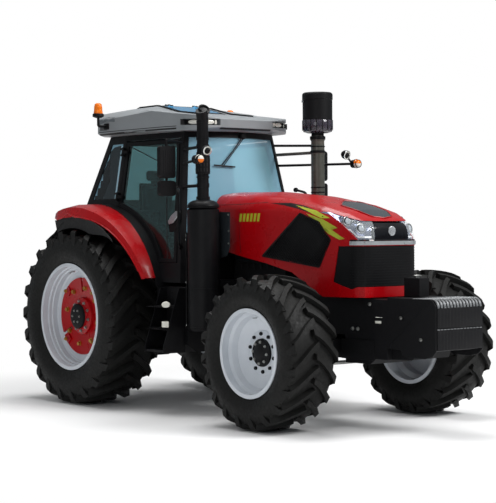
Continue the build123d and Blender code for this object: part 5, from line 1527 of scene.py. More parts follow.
# ------------------------------------------------------------------ exhaust and intake
class TRACTOR_OT_exhaust(bpy.types.Operator):
    """Silencer guard, heat shield, clamps and open end of the exhaust"""

    bl_idname = "tractor.exhaust"
    bl_label = "Exhaust"

    def execute(self, context):
        at = lambda z: spot(*STACK, z)
        bands = []
        for z, r, h in ((2036, 0.160, 14), (1240, 0.160, 12), (860, 0.160, 12)):
            bands.append(turned(ring_profile(r - 0.004, r + 0.003, -h / 2000, h / 2000), at(z), "Z",
                48))
        piece("silencer_bands", *joined(*bands), "chassis_enamel")
        cap = [(0.066, 0.0), (0.1, -0.006), (0.132, -0.022), (0.15, -0.042), (0.1585, -0.06),
            (0.150, -0.064), (0.066, -0.03), (0.066, 0.0)]
        piece("silencer_cap", *turned(cap, at(2108), "Z", 48), "chassis_enamel")
        collars = []
        for z, r, h in ((2125, 0.068, 30), (2330, 0.064, 16), (2560, 0.063, 26), (2705, 0.063, 26),
                (2870, 0.061, 14)):
            collars.append(turned(ring_profile(0.055, r, -h / 2000, h / 2000), at(z), "Z", 40))
        piece("stack_collars", *joined(*collars), "chassis_enamel")
        sleeve = turned(ring_profile(0.0575, 0.071, -0.09, 0.09), at(2450), "Z", 40)
        slots = []
        for k in range(14):
            a = 2 * pi * k / 14
            for z in (2400, 2450, 2500):
                slot = block((0.0705, 0.0722), (-0.005, 0.005), (-0.017, 0.017))
                slots.append(moved(slot, swung(at(z), a)))
        piece("stack_sleeve", *sleeve, "chassis_enamel")
        piece("stack_slots", *joined(*slots), "seal_rubber")
        self.outlet()
        self.guard(at)
        self.shield()
        return {"FINISHED"}

    def outlet(self):
        """Rolled lip round the pipe's slanting end."""
        lip = turned([(0.050, -0.004), (0.058, -0.007), (0.062, 0.0), (0.058, 0.007), (0.050, 0.004),
            (0.050, -0.004)], steps=40)
        aim = Vector((0.75, -0.1, 0.66))
        bend = tube([spot(*STACK, 2885), spot(*STACK, 2950), spot(1745, -754, 2990)], 0.058, 32,
            0.05)
        piece("stack_bend", *bend, "chassis_enamel")
        end = facing(spot(1748, -754, 2994), aim)
        piece("stack_lip", *moved(lip, end), "chassis_enamel")
        hole = turned([(0, -0.03), (0.052, -0.03), (0.052, 0.001), (0.048, 0.001), (0.046, -0.026),
            (0, -0.026)])
        piece("stack_bore", *moved(hole, end), "soot")

    def guard(self, at):
        """Bent plate with a ladder of slots, standing off the silencer."""
        turn_mid, half, radius = radians(222), radians(11), 0.171
        rows = []
        for k in range(9):
            a = turn_mid + lerp(-half, half, k / 8)
            rows.append([at(z) + Vector((cos(a), sin(a), 0)) * radius for z in (870, 1790)])
        inner = [[p - Vector((cos(turn_mid), sin(turn_mid), 0)) * 0.004 for p in row]
            for row in rows]
        piece("silencer_guard", *shell(rows, inner), "chassis_enamel")
        slots = []
        for k in range(24):
            slot = block((radius - 0.002, radius + 0.0012), (-0.022, 0.022), (-0.006, 0.006))
            slots.append(moved(slot, swung(at(900 + k * 36), turn_mid)))
        piece("silencer_guard_slots", *joined(*slots), "seal_rubber")
        pad = block((radius, radius + 0.002), (-0.014, 0.014), (-0.014, 0.014))
        piece("silencer_guard_pad", *moved(pad, swung(at(1760), turn_mid)), "clear_lens")
        bolts = [hexagon_head(at(z) + Vector((cos(turn_mid), sin(turn_mid), 0)) * (radius + 0.001),
            (cos(turn_mid), sin(turn_mid), 0), 0.014, 0.008) for z in (880, 1300, 1720)]
        piece("silencer_guard_bolts", *joined(*bolts), "zinc_plated_steel")

    def shield(self):
        """Flat heat shield between the silencer and the hood."""
        outline = [(1752, 1990), (1925, 1986), (1922, 1640), (1880, 1560), (1752, 1530)]
        shape = prism([(station(x), level(z)) for x, z in outline], spot(0, -586, 0).y,
            spot(0, -582, 0).y)
        piece("heat_shield", *shape, "slate_enamel")
        places = [spot(x, -586, z) for x, z in ((1900, 1960), (1905, 1800), (1900, 1680))]
        piece("heat_shield_bolts", *heads(places, (0, -1, 0), 0.014, 0.008), "zinc_plated_steel")


class TRACTOR_OT_intake(bpy.types.Operator):
    """Bands of the intake pipe, and the ribs, bowl and lid of the dust separator"""

    bl_idname = "tractor.intake"
    bl_label = "Intake"

    def execute(self, context):
        at = lambda z: spot(*INTAKE, z)
        clamps = []
        for z, r, h in ((2748, 0.080, 34), (2660, 0.074, 12), (2606, 0.078, 26), (2240, 0.074, 12),
                (2190, 0.074, 12)):
            clamps.append(turned([(0.064, -h / 2000), (r - 0.003, -h / 2000), (r, -h / 2400),
                (r, h / 2400), (r - 0.003, h / 2000), (0.064, h / 2000), (0.064, -h / 2000)], at(z),
                "Z", 40))
        piece("intake_clamps", *joined(*clamps), "chassis_enamel")
        seams = []
        for k in range(3):
            a = radians(-60 + 50 * k)
            seams.append(moved(block((0.0672, 0.0695), (-0.0012, 0.0012), (-0.18, 0.16)),
                swung(at(2420), a)))
        piece("intake_seams", *joined(*seams), "khaki_enamel")
        sleeve = turned(ring_profile(0.060, 0.0695, -0.26, 0.24), at(2440), "Z", 48)
        piece("intake_sleeve", *sleeve, "khaki_enamel")
        low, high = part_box("precleaner")
        centre = Vector((mean(low.x, high.x), mean(low.y, high.y), 0))
        r = (high.x - low.x) / 2
        z = level
        rim = [(r * 0.2, z(3214)), (r * 0.9, z(3212)), (r * 0.985, z(3200)), (r * 1.0, z(3180)),
            (r * 1.0, z(3150)), (r * 0.97, z(3140)), (r * 0.9, z(3140)), (r * 0.2, z(3190)),
            (r * 0.2, z(3214))]
        piece("separator_lid", *turned(rim, centre, "Z", 64), "grained_abs")
        bowl = [(r * 0.985, z(2930)), (r * 1.005, z(2925)), (r * 1.0, z(2850)), (r * 0.93, z(2812)),
            (r * 0.7, z(2800)), (r * 0.7, z(2806)), (r * 0.91, z(2820)), (r * 0.975, z(2855)),
            (r * 0.985, z(2930))]
        piece("separator_bowl", *turned(bowl, centre, "Z", 64), "smoke_bowl")
        bars = [moved(block((r * 0.985, r * 1.012), (-0.004, 0.004), (z(2824), z(2930))),
            swung(centre, 2 * pi * k / 16)) for k in range(16)]
        piece("separator_ribs", *joined(*bars), "grained_abs")
        clasp = rounded_bar((-0.012, 0.012), (-0.006, 0.006), (-0.012, 0.012), 0.003, 2)
        piece("separator_clasp", *moved(clasp, Matrix.Translation(centre
            + Vector((-0.05, -r, z(3120))))), "brushed_aluminium")
        dust = []
        for k in range(24):
            a = 2 * pi * k / 24
            dust.append(moved(block((r * 0.30, r * 0.62), (-0.002, 0.002), (z(2812), z(2835))),
                swung(centre, a)))
        piece("separator_vanes", *joined(*dust), "grained_abs")
        return {"FINISHED"}


class TRACTOR_OT_mirrors(bpy.types.Operator):
    """Mirror glasses, work lamps and turn signals on the cab's arms"""

    bl_idname = "tractor.mirrors"
    bl_label = "Mirrors"

    def execute(self, context):
        for side_name, side in SIDES:
            for name, (z0, z1) in (("upper", (2345, 2620)), ("lower", (2164, 2286))):
                face = soft_block((1398, 1404), sided(side, 926, 1074), (z0, z1), 3)
                hits = skin("mirrors")
                hit, _ = laid(hits, spot(800, side * 1000, mean(z0, z1)), (1, 0, 0))
                shift = Matrix.Translation((hit.x - station(1404), 0, 0))
                piece(f"mirror_glass_{name}_{side_name}", *moved(face, shift), "silvered_glass")
                shellback, _ = laid(hits, spot(2200, side * 1000, mean(z0, z1)), (-1, 0, 0))
                ribs_shape = [moved(soft_block((0, 4), sided(side, 945 + 26 * k, 951 + 26 * k),
                    (z0 + 20, z1 - 20), 1, 1), Matrix.Translation((shellback.x - ORIGIN.x - 0.002, 0,
                    0))) for k in range(5)]
                piece(f"mirror_ribs_{name}_{side_name}", *joined(*ribs_shape), "grained_abs")
            self.signal(side_name, side)
            self.round_lamp(side_name, side)
        return {"FINISHED"}

    def signal(self, side_name, side):
        """Turn signal: clear towards the middle, amber outside."""
        low, high = spot(1962, side * 975, 2452), spot(2045, side * 1066, 2524)
        centre = (low + high) / 2
        dome = [(0, 0.046), (0.018, 0.044), (0.032, 0.036), (0.041, 0.022), (0.044, 0.0),
            (0.040, -0.02), (0, -0.02)]
        for name, begin, material in (("amber", 0.0 if side > 0 else pi, "amber_acrylic"),
                ("clear", pi if side > 0 else 0.0, "clear_lens")):
            half = turned(dome, (0, 0, 0), "Z", 16, begin, pi)
            place = facing(Vector((centre.x + 0.006, centre.y, centre.z)), (1, side * -0.15, 0.02))
            piece(f"signal_{name}_{side_name}", *moved(half, place), material)
        cup = turned([(0, -0.045), (0.03, -0.04), (0.046, -0.014), (0.048, 0.002), (0.044, 0.004),
            (0, 0.002)])
        piece(f"signal_cup_{side_name}", *moved(cup,
            facing(Vector((centre.x + 0.002, centre.y, centre.z)), (1, 0, 0))), "grained_abs")

    def round_lamp(self, side_name, side):
        centre = spot(1970, side * 902, 2579)
        place = facing(centre, (0.95, side * 0.1, -0.28))
        cup = turned([(0, -0.045), (0.028, -0.04), (0.042, -0.02), (0.047, 0.01), (0.047, 0.022),
            (0.043, 0.024), (0.04, 0.012), (0, 0.008)])
        lens = turned([(0, 0.03), (0.02, 0.028), (0.036, 0.022), (0.043, 0.014), (0, 0.012)])
        ring = turned([(0.040, 0.018), (0.047, 0.018), (0.047, 0.026), (0.042, 0.027),
            (0.040, 0.018)])
        piece(f"arm_lamp_cup_{side_name}", *moved(cup, place), "grained_abs")
        piece(f"arm_lamp_lens_{side_name}", *moved(lens, place), "clear_lens")
        piece(f"arm_lamp_ring_{side_name}", *moved(ring, place), "vacuum_chrome")


# ------------------------------------------------------------------ chassis
class TRACTOR_chassis(bpy.types.PropertyGroup):
    weight_ribs: IntProperty(name="Weights", description="Weights across the front", default=14,
        min=2)


class TRACTOR_OT_front_end(bpy.types.Operator):
    """Grips, bolts and side plates of the front weights, tow pin and frame bolts"""

    bl_idname = "tractor.front_end"
    bl_label = "Front End"

    def execute(self, context):
        sizes = context.scene.tractor_chassis
        low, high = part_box("front_weights")
        pitch = (high.y - low.y) / sizes.weight_ribs
        grips = []
        for k in range(sizes.weight_ribs):
            y = low.y + (k + 0.5) * pitch
            corner = Vector((high.x - 0.07, 0, high.z - 0.07))
            top = [Vector((high.x - 0.30, 0, high.z + 0.004)),
                Vector((high.x - 0.14, 0, high.z + 0.006))]
            top += [corner + Vector((sin(a), 0, cos(a))) * 0.077 for a in spread(0, pi / 2, 8)]
            rows = [[p + Vector((0, y + d, 0)) for d in (-pitch * 0.3, -pitch * 0.22, pitch * 0.22,
                pitch * 0.3)] for p in top]
            for row in rows:
                row[0] -= Vector((0.003, 0, 0.003))
                row[3] -= Vector((0.003, 0, 0.003))
            under = [[p - Vector((0.012, 0, 0.012)) for p in row] for row in rows]
            grips.append(shell(rows, under))
        # pale tops of the grips on the black weights: a painted highlight
        piece("weight_grips", *joined(*grips), "worn_casting")
        fronts = []
        for z0, z1 in ((754, 928), (950, 1122)):
            face = high.x
            fronts.append(rounded_bar((face - 0.012, face + 0.006), (low.y + 0.004, high.y - 0.004),
                (level(z0), level(z1)), 0.005, 2))
        seams = [block((high.x + 0.0055, high.x + 0.0068),
            (low.y + k * pitch - 0.0014, low.y + k * pitch + 0.0014), (level(a), level(b)))
            for k in range(1, sizes.weight_ribs) for a, b in ((760, 922), (956, 1116))]
        piece("weight_faces", *joined(*fronts), "painted_casting")
        # pale strip along the groove between the two rows of weight faces: a painted highlight
        edge_z = level(936)
        edge_highlights = [rounded_bar((high.x - 0.004, high.x + 0.005),
            (low.y + (k + 0.12) * pitch, low.y + (k + 0.88) * pitch),
            (edge_z - 0.004, edge_z + 0.004), 0.002, 1) for k in range(sizes.weight_ribs)]
        piece("weight_edges", *joined(*edge_highlights), "worn_casting")
        piece("weight_seams", *joined(*seams), "seal_rubber")
        for side_name, side in SIDES:
            self.side_plate(side_name, side)
        self.tow()
        self.frame_bolts()
        return {"FINISHED"}

    def side_plate(self, side_name, side):
        """Rounded cheek that holds the end weight, with its bolts and the lobe below it."""
        y = side * 284
        outline = [(3850, 1192), (4370, 1192), (4416, 1140), (4416, 742), (4370, 700), (4280, 676),
            (4080, 676), (4000, 700), (3990, 742), (3850, 742)]
        path = rounded_loop(outline, 30)
        flat = [spot(p.x, y, p.y) for p in path]
        made = piece(f"weight_cheek_{side_name}", *slab(flat, side, 0.012), "painted_casting")
        bevelled(made, 0.003, 2, 50)
        places = [spot(x, y + side * 12, z) for x, z in ((3992, 1023), (4237, 842))]
        piece(f"weight_bolts_{side_name}", *heads(places, (0, side, 0), 0.024, 0.014),
            "zinc_plated_steel")
        frame_side = side * 262
        places = [spot(x, frame_side, z) for x, z in ((3330, 900), (3400, 900), (3560, 1130),
            (2450, 1100), (2560, 1100), (2450, 760), (2560, 760))]
        piece(f"frame_bolts_{side_name}", *heads(places, (0, side, 0), 0.026, 0.016),
            "zinc_plated_steel")
        reflector = blocks(((3652, 3728), sided(side, 280, 288), (962, 984), 3),
            ((3650, 3740), sided(side, 280, 287), (1014, 1019), 2, 1))
        piece(f"frame_reflector_{side_name}", *reflector, "clear_lens")
        plate = soft_block((3180, 3620), sided(side, 262, 272), (620, 800), 6)
        piece(f"frame_plate_{side_name}", *plate, "painted_casting")

    def tow(self):
        """Tow pin with its ring through the block on top."""
        pin = drum(spot(3900, 0, 0), 0.02, level(1360), level(1388), "Z", 24)
        ring = tube([spot(3900 + 34 * cos(a), 34 * sin(a), 1390) for a in spread(0, 2 * pi, 20)],
            0.005, 8)
        piece("tow_pin", *joined(pin, ring), "zinc_plated_steel")

    def frame_bolts(self):
        """Bolts round the joints between engine, gearbox and axle housings."""
        heads_list = []
        for x, half in ((1566, 262), (2366, 262)):
            for side in (1, -1):
                for z in range(720, 1180, 110):
                    heads_list.append(hexagon_head(spot(x, side * half, z), (0, side, 0), 0.02,
                        0.012))
        piece("housing_bolts", *joined(*heads_list), "zinc_plated_steel")


class TRACTOR_OT_steps(bpy.types.Operator):
    """Grip strips on the steps, lids and straps of the tank and battery box, markers"""

    bl_idname = "tractor.steps"
    bl_label = "Steps"

    def execute(self, context):
        for side_name, side in SIDES:
            y0, y1 = side * 838, side * 1082
            teeth = []
            for z in (615, 830, 1045):
                for k in range(9):
                    x = 1205 + k * 32
                    teeth.append(soft_block((x, x + 12), sorted((y0, y1)), (z + 10, z + 18), 2, 1))
            piece(f"step_grips_{side_name}", *joined(*teeth), "chassis_enamel")
            marker = turned([(0, 0.0), (0.034, 0.0), (0.036, 0.004), (0.03, 0.010), (0, 0.013)])
            place = facing(spot(1504, side * 1060, 1086),
                (0.82, side * 0.57, 0)) @ Matrix.Diagonal((1.15, 0.85, 1, 1))
            piece(f"step_marker_{side_name}", *moved(marker, place), "clear_lens")
            plate = rounded_bar((-0.034, 0.034), (-0.03, 0.03), (0, 0.008), 0.006, 2)
            place = facing(spot(1488, side * 1058, 892), (0.82, side * 0.57, 0))
            piece(f"step_reflector_{side_name}", *moved(plate, place), "clear_lens")
        straps = []
        for x in (1180, 1480):
            straps.append(soft_block((x, x + 36), (286, 829), (1236, 1244), 2, 1))
            straps.append(soft_block((x, x + 36), (822, 830), (640, 1240), 2, 1))
        piece("tank_straps", *joined(*straps), "zinc_plated_steel")
        cap = turned([(0, 0.04), (0.045, 0.04), (0.052, 0.034), (0.052, 0.0), (0, 0.0)],
            spot(1560, 700, 1240), "Z", 24)
        piece("tank_cap", *cap, "grained_abs")
        lid = blocks(((1036, 1534), (-822, -296), (1236, 1250), 6),
            ((1270, 1300), (-831, -822), (1130, 1200), 3))
        piece("battery_lid", *lid, "grained_abs")
        return {"FINISHED"}


class TRACTOR_OT_wings(bpy.types.Operator):
    """Rolled edges and trim of the rear wings, rear lamps' lenses"""

    bl_idname = "tractor.wings"
    bl_label = "Wings"

    def execute(self, context):
        tree = skin("rear_fenders")
        centre = spot(0, 0, AXLE_HEIGHT)
        for side_name, side in SIDES:
            outer = []
            for k in range(60):
                a = radians(lerp(24, 110, k / 59))
                out = Vector((cos(a), 0, sin(a)))
                hit = laid(tree, centre + out * 2.0 + Vector((0, side * 1.205, 0)), -out)[0]
                if (hit - centre).length < WING_REACH:
                    outer.append(hit + out * 0.001)
            piece(f"wing_bead_{side_name}", *tube(outer, 0.008, 8), "red_enamel")
            self.valance(side_name, side, tree, centre)
            for name, y0, y1, material in (("tail", 614, 666, "red_acrylic"),
                    ("turn", 668, 712, "amber_acrylic"), ("reverse", 714, 756, "clear_lens")):
                lens = soft_block((-662, -650), sided(side, y0, y1), (1818, 1892), 4)
                piece(f"rear_{name}_{side_name}", *lens, material)
            cup = soft_block((-652, -598), sided(side, 602, 768), (1808, 1902), 6)
            made = piece(f"rear_lamp_box_{side_name}", *cup, "grained_abs")
            if side > 0:
                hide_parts("rear_lamps")
        return {"FINISHED"}

    def valance(self, side_name, side, tree, centre):
        """Rubber skirt hanging inside the wing's outer edge, clear of the tyre."""
        edge = Vector((0, side * 1.19, 0))
        rows = []
        for k in range(40):
            a = radians(lerp(46, 108, k / 39))
            out = Vector((cos(a), 0, sin(a)))
            top = (laid(tree, centre + edge, out)[0] - centre - edge).length
            low = lerp(top - 0.012, 0.928, smoothstep(0, 16, k))
            rows.append([centre + edge + out * r for r in (low, mean(low, top), top - 0.002)])
        inner = [[p - Vector((0, side * 0.006, 0)) for p in row] for row in rows]
        piece(f"wing_skirt_{side_name}", *shell(rows, inner), "seal_rubber")
        rows = []
        for a in spread(radians(99), radians(123), 16):
            r = lerp(1.0, 0.936, smoothstep(radians(99), radians(112), a))
            rows.append([centre + Vector((r * cos(a), side * y, r * sin(a)))
                for y in spread(0.75, 1.2, 6)])
        inner = [[centre + (p - centre) * 0.993 for p in row] for row in rows]
        piece(f"mud_flap_{side_name}", *shell(rows, inner), "seal_rubber")


# ------------------------------------------------------------------ rear end and hoses
def on_x(y, z):
    """Centre of a shape turned about a line along X, with its ends given in X."""
    place = spot(0, y, z)
    place.x = 0
    return place


class TRACTOR_OT_rear_end(bpy.types.Operator):
    """Threads, pins, balls, couplers, hoses and bolts at the back, and parts under the hood"""

    bl_idname = "tractor.rear_end"
    bl_label = "Rear End"

    def execute(self, context):
        self.top_link()
        self.shaft()
        self.couplers()
        for side_name, side in SIDES:
            self.lift_rod(side_name, side)
            self.link(side_name, side)
            self.axle_bolts(side_name, side)
            self.steering(side_name, side)
        self.hoses()
        self.drawbar()
        self.under_hood()
        return {"FINISHED"}

    def top_link(self):
        """Turnbuckle sleeve, lock nuts and thread of the top link."""
        low, high = spot(-500, 0, 1010), spot(-545, 0, 1725)
        along = (high - low).normalized()
        length = (high - low).length
        place = facing(low, along)
        ring_list = []
        for start, end, r in ((0.30, 0.70, 0.031), (0.27, 0.30, 0.036), (0.70, 0.73, 0.036)):
            ring_list.append(drum((0, 0, 0), r, start * length, end * length, "Z", 24))
        piece("top_link_sleeve", *moved(joined(*ring_list), place), "chassis_enamel", "top_link")
        thread = []
        for start, end in ((0.12, 0.27), (0.73, 0.88)):
            count = 16
            profile = [(0.008, start * length)]
            for k in range(count):
                z = lerp(start, end, k / count) * length
                profile += [(0.021, z), (0.0245, z + 0.0025), (0.021, z + 0.005)]
            profile += [(0.008, end * length)]
            thread.append(turned(profile + [profile[0]], steps=24))
        piece("top_link_threads", *moved(joined(*thread), place), "zinc_plated_steel", "top_link")

    def shaft(self):
        """Splines and safety cover of the power take-off."""
        low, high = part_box("pto_shaft")
        centre = Vector((0, mean(low.y, high.y), mean(low.z, high.z)))
        teeth = [moved(block((low.x - 0.002, low.x + 0.09), (-0.0035, 0.0035), (0.019, 0.0245)),
            swung(centre, 2 * pi * k / 12, "X")) for k in range(12)]
        piece("shaft_splines", *joined(*teeth), "zinc_plated_steel", "pto_shaft")
        arch = [(-105, 640), (-105, 750), (-60, 800), (60, 800), (105, 750), (105, 640), (97, 640),
            (97, 746), (56, 792), (-56, 792), (-97, 746), (-97, 640)]
        shape = prism([(spot(0, y, 0).y, level(z)) for y, z in arch], station(-690), station(-576),
            "X")
        piece("shaft_cover", *shape, "chassis_enamel")

    def couplers(self):
        """Rows of hydraulic couplers with coloured dust caps over the lift shaft."""
        bodies, caps_list = [], {"red_acrylic": [], "blue_acrylic": [], "yellow_green_vinyl": []}
        bodies.append(soft_block((-596, -560), (-150, 150), (1050, 1170), 6))
        for k in range(4):
            for row, z in enumerate((1080, 1138)):
                y = -114 + 76 * k
                bodies.append(drum(on_x(y, z), 0.019, station(-612), station(-585), "X", 20))
                material = list(caps_list)[(k + row) % 3]
                caps_list[material].append(drum(on_x(y, z), 0.016, station(-624), station(-611), "X",
                    20))
        piece("coupler_block", *joined(*bodies), "zinc_plated_steel")
        for material, shapes in caps_list.items():
            piece(f"coupler_caps_{material}", *joined(*shapes), material)

    def lift_rod(self, side_name, side):
        """Sleeve and lock nuts of a lift rod."""
        y = side * 346
        nuts = [drum(spot(lerp(-690, -680, (z - 640) / 560), y, z), 0.026, -0.014, 0.014, "Z", 6)
            for z in (780, 1040)]
        nuts.append(drum(spot(-686, y, 900), 0.024, -0.09, 0.09, "Z", 24))
        piece(f"lift_rod_sleeve_{side_name}", *joined(*nuts), "chassis_enamel", "lift_rods")

    def link(self, side_name, side):
        """Ball and pins of a lower link."""
        ring = turned(ring_profile(0.021, 0.034, -0.019, 0.019), spot(-1128, side * 505, 660), "Y",
            32)
        piece(f"link_ball_{side_name}", *ring, "zinc_plated_steel", "lower_links")
        head = [hexagon_head(spot(-690, side * 420, 640), (0, side, 0), 0.03, 0.018),
            hexagon_head(spot(-120, side * 330, 600), (0, side, 0), 0.034, 0.02)]
        piece(f"link_pins_{side_name}", *joined(*head), "zinc_plated_steel", "lower_links")

    def axle_bolts(self, side_name, side):
        """Bolts round the axle housing's outer flange and inner joint."""
        heads_list = []
        for r, y, count in ((172, 872, 12), (188, 262, 12)):
            for k in range(count):
                a = 2 * pi * k / count + 0.2
                heads_list.append(hexagon_head(spot(r * cos(a), side * y, AXLE_HEIGHT + r * sin(a)),
                    (0, -side if y > 500 else side, 0), 0.02, 0.012))
        piece(f"axle_bolts_{side_name}", *joined(*heads_list), "zinc_plated_steel")

    def steering(self, side_name, side):
        """Grease cap of a kingpin."""
        cap = turned([(0, 0.022), (0.018, 0.020), (0.03, 0.008), (0.03, 0.0), (0, 0.0)],
            spot(2995, side * 800, 853), "Z", 24)
        piece(f"kingpin_cap_{side_name}", *cap, "zinc_plated_steel", f"{side_name}_knuckle")

    def hoses(self):
        """Hydraulic hoses along the frame and the fuel rail beside the engine."""
        runs = []
        for side in (1, -1):
            for k in range(3):
                z = 1130 - 34 * k
                runs.append(tube([spot(1180, side * 300, z - 60), spot(1500, side * 312, z),
                    spot(2360, side * 290, z), spot(2700, side * 284, z + 10),
                    spot(2900, side * 284, 1040 - 30 * k)], 0.011, 10, 0.06))
        piece("frame_hoses", *joined(*runs), "seal_rubber")
        rail = joined(tube([spot(1650, -272, 1500), spot(2250, -272, 1500)], 0.016, 12),
            *[tube([spot(1700 + 100 * k, -272, 1500), spot(1700 + 100 * k, -256, 1420)], 0.006, 8,
            0.01) for k in range(6)])
        piece("fuel_rail", *rail, "painted_casting")

    def drawbar(self):
        """Hitch pin with its lifting ring."""
        pin = drum(spot(-770, 0, 0), 0.0185, level(440), level(575), "Z", 24)
        collar = drum(spot(-770, 0, 0), 0.028, level(553), level(563), "Z", 24)
        ring = tube([spot(-770, 26 * cos(a), 582 + 24 * sin(a)) for a in spread(0, 2 * pi, 20)],
            0.0045, 8)
        piece("hitch_pin", *joined(pin, collar, ring), "zinc_plated_steel")

    def under_hood(self):
        """Rocker cover, filters, and the cooler's fins, rails and cap, seen with the hood open."""
        low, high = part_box("engine_block")
        top = high.z
        cover = block((low.x + 0.12, high.x - 0.12), (-0.11, 0.11), (top - 0.004, top + 0.045))
        ribs_list = [block((x, x + 0.018), (-0.115, 0.115), (top + 0.004, top + 0.052))
            for x in spread(low.x + 0.14, high.x - 0.17, 9)]
        bevelled(piece("rocker_cover", *joined(cover, *ribs_list), "worn_casting"), 0.006)
        filters = []
        for k in range(3):
            spot_x = lerp(low.x + 0.18, high.x - 0.3, k / 2)
            filters.append(turned([(0, -0.12), (0.044, -0.115), (0.05, -0.105), (0.05, 0.03),
                (0.038, 0.04), (0, 0.04)], (spot_x, 0.2, top - 0.05), "Z", 28))
        piece("oil_filters", *joined(*filters), "yellow_zinc_steel")
        cooler_low, cooler_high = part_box("radiator")
        fins = [block((cooler_high.x - 0.001, cooler_high.x + 0.005),
            (cooler_low.y + 0.02, cooler_high.y - 0.02), (z, z + 0.003))
            for z in spread(cooler_low.z + 0.03, cooler_high.z - 0.03, 46)]
        piece("cooler_fins", *joined(*fins), "zinc_plated_steel")
        rail = joined(*[block((cooler_high.x - 0.002, cooler_high.x + 0.012),
            sorted((side * cooler_high.y, side * (cooler_high.y - 0.02))),
            (cooler_low.z, cooler_high.z)) for side in (1, -1)])
        piece("cooler_rails", *rail, "chassis_enamel")
        cap = turned([(0, 0.03), (0.03, 0.03), (0.034, 0.022), (0.034, 0), (0, 0)],
            (mean(cooler_low.x, cooler_high.x), 0.12, cooler_high.z), "Z", 24)
        piece("cooler_cap", *cap, "zinc_plated_steel")


# ------------------------------------------------------------------ tyres
class TRACTOR_tyres(bpy.types.PropertyGroup):
    rear_lugs: IntProperty(name="Rear lugs", description="Lugs on each side of a rear tyre",
        default=22, min=8)
    front_lugs: IntProperty(name="Front lugs", description="Lugs on each side of a front tyre",
        default=20, min=8)
    rear_depth: FloatProperty(name="Rear lug depth", description="Height of the rear lugs",
        unit="LENGTH", default=0.058)
    front_depth: FloatProperty(name="Front lug depth", description="Height of the front lugs",
        unit="LENGTH", default=0.048)


def carcass_profile(outer, bead, half_tread, half_width, depth):
    """Outside of a tyre without its lugs, as (radius, along) from bead to bead, with its inside."""
    base = outer - depth
    outside = [(bead, half_width * 0.78), (bead + 0.022, half_width * 0.84),
        (bead + 0.03, half_width * 0.815), (bead + 0.05, half_width * 0.9),
        (lerp(bead, base, 0.42), half_width * 0.985), (lerp(bead, base, 0.58), half_width * 0.99),
        (lerp(bead, base, 0.78), half_width * 0.955), (base - 0.05, half_tread * 0.985),
        (base - 0.024, half_tread * 0.95), (base - 0.006, half_tread * 0.8),
        (base, half_tread * 0.4), (base + 0.001, 0)]
    inside = [(bead, -half_width * 0.7), (bead + 0.05, -half_width * 0.84),
        (base - 0.09, -half_width * 0.86), (base - 0.03, 0), (base - 0.09, half_width * 0.86),
        (bead + 0.05, half_width * 0.84), (bead, half_width * 0.7)]
    other = [(r, -w) for r, w in reversed(outside[:-1])]
    return outside + other + inside + [outside[0]]


def lug(outer, half_tread, half_width, depth, side, sweep, thick):
    """One tread bar, from past the middle of the tread to the shoulder and down the wall."""
    base = outer - depth
    rows = []
    # fraction of the half tread, fraction of the sweep, top radius, root radius, width factor
    path = [(-0.07, 0.0, outer - 0.002, base - 0.01, 0.95), (0.1, 0.10, outer, base - 0.01, 1.0),
        (0.3, 0.26, outer - 0.001, base - 0.012, 1.05),
        (0.5, 0.45, outer - 0.004, base - 0.014, 1.1), (0.7, 0.66, outer - 0.008, base - 0.018, 1.2),
        (0.88, 0.86, outer - 0.014, base - 0.03, 1.32),
        (0.985, 0.98, outer - 0.022, base - 0.045, 1.4)]
    for across, turn, top, root, wide in path:
        w = side * across * half_tread
        a = sweep * turn
        half_top, half_root = thick * wide / 2 / top, thick * wide * 0.78 / top
        rows.append([((root, a - half_root), w), ((top, a - half_top), w), ((top, a + half_top), w),
            ((root, a + half_root), w)])
    points = [[Vector((r * sin(a), w, r * cos(a))) for (r, a), w in row] for row in rows]
    # shoulder: the bar turns down the wall and fades into it
    wide = thick * 1.4
    for drop, out, stand, grow in ((0.055, 1.0, 0.0, 0.95), (0.11, 1.0, 0.0, 0.75),
            (0.16, 0.985, -0.004, 0.5)):
        r = outer - drop
        a = sweep + drop * 0.32 / outer
        half = wide * grow / 2 / r
        outward = lerp(half_tread, half_width, smoothstep(0.0, 0.2, drop)) * out + stand
        points.append([Vector((r * sin(a - half * 1.5), side * (outward - 0.045),
            r * cos(a - half * 1.5))), Vector((r * sin(a - half), side * outward,
            r * cos(a - half))), Vector((r * sin(a + half), side * outward, r * cos(a + half))),
            Vector((r * sin(a + half * 1.5), side * (outward - 0.045), r * cos(a + half * 1.5)))])
    return grid(points, closed_columns=True, caps=True)


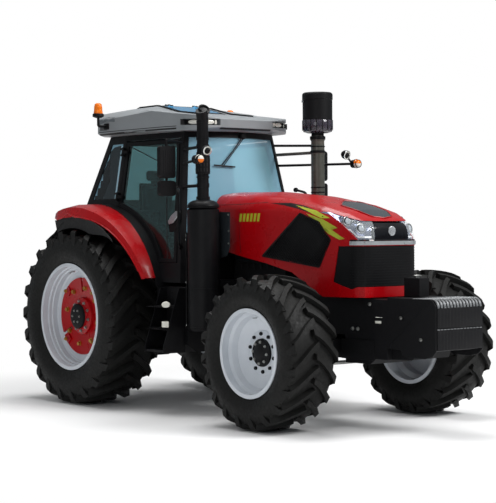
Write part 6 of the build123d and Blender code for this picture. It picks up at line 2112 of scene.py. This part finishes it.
class TRACTOR_OT_tyres(bpy.types.Operator):
    """Tyres with their lugs and beads"""

    bl_idname = "tractor.tyres"
    bl_label = "Tyres"

    def execute(self, context):
        sizes = context.scene.tractor_tyres
        repeat = round_axle_tree()
        kinds = (("rear", sizes.rear_lugs, sizes.rear_depth, 0.535, 0.300, 0.318, 0.30, 0.062),
            ("front", sizes.front_lugs, sizes.front_depth, 0.382, 0.250, 0.267, 0.34, 0.05))
        for end, count, depth, bead, half_tread, half_width, sweep, thick in kinds:
            for side_name, _ in SIDES:
                name = f"{end}_{side_name}"
                low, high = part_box(f"{name}_tyre")
                centre = [mean(a, b) for a, b in zip(low, high)]
                outer = (high[2] - low[2]) / 2
                carcass = turned(carcass_profile(outer, bead, half_tread, half_width, depth), centre,
                    "Y", 96)
                body = piece(f"{name}_carcass", *carcass, "tyre_rubber", f"{name}_wheel", smooth=40)
                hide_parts(f"{name}_tyre")
                for side in (1, -1):
                    shape = lug(outer, half_tread, half_width, depth, side, sweep, thick)
                    lugs = run_tree(f"{name}_lugs_{'inner' if side < 0 else 'outer'}", shape, repeat,
                        {"Count": count, "Phase": 0.0 if side > 0 else pi / count,
                        "Centre": tuple(centre)}, "tyre_rubber", f"{name}_wheel")
        return {"FINISHED"}


# ------------------------------------------------------------------ add-on
STEPS = (
    TRACTOR_OT_finishes,
    TRACTOR_OT_tyres,
    TRACTOR_OT_wheels,
    TRACTOR_OT_hood,
    TRACTOR_OT_headlamps,
    TRACTOR_OT_roof,
    TRACTOR_OT_cab,
    TRACTOR_OT_seat,
    TRACTOR_OT_controls,
    TRACTOR_OT_exhaust,
    TRACTOR_OT_intake,
    TRACTOR_OT_mirrors,
    TRACTOR_OT_front_end,
    TRACTOR_OT_steps,
    TRACTOR_OT_wings,
    TRACTOR_OT_rear_end,
    TRACTOR_OT_stage,
)


class TRACTOR_PT_panel(bpy.types.Panel):
    bl_label = "Tractor"
    bl_idname = "TRACTOR_PT_panel"
    bl_space_type = "VIEW_3D"
    bl_region_type = "UI"
    bl_category = "Tractor"

    def draw(self, context):
        for step in STEPS:
            self.layout.operator(step.bl_idname)
        for settings in (getattr(context.scene, name) for name in GROUPS):
            for name in settings.__annotations__:
                self.layout.prop(settings, name)


GROUPS = {
    "tractor_stage": TRACTOR_stage,
    "tractor_tyres": TRACTOR_tyres,
    "tractor_wheels": TRACTOR_wheels,
    "tractor_hood": TRACTOR_hood,
    "tractor_seat": TRACTOR_seat,
    "tractor_chassis": TRACTOR_chassis,
}
CLASSES = (*GROUPS.values(), *STEPS, TRACTOR_PT_panel)


def register():
    for kind in CLASSES:
        bpy.utils.register_class(kind)
    for name, kind in GROUPS.items():
        setattr(bpy.types.Scene, name, PointerProperty(type=kind))


def unregister():
    for name in GROUPS:
        delattr(bpy.types.Scene, name)
    for kind in reversed(CLASSES):
        bpy.utils.unregister_class(kind)


def main():
    register()
    for step in STEPS:
        group, name = step.bl_idname.split(".")
        getattr(getattr(bpy.ops, group), name)()


if __name__ == "__main__":
    main()
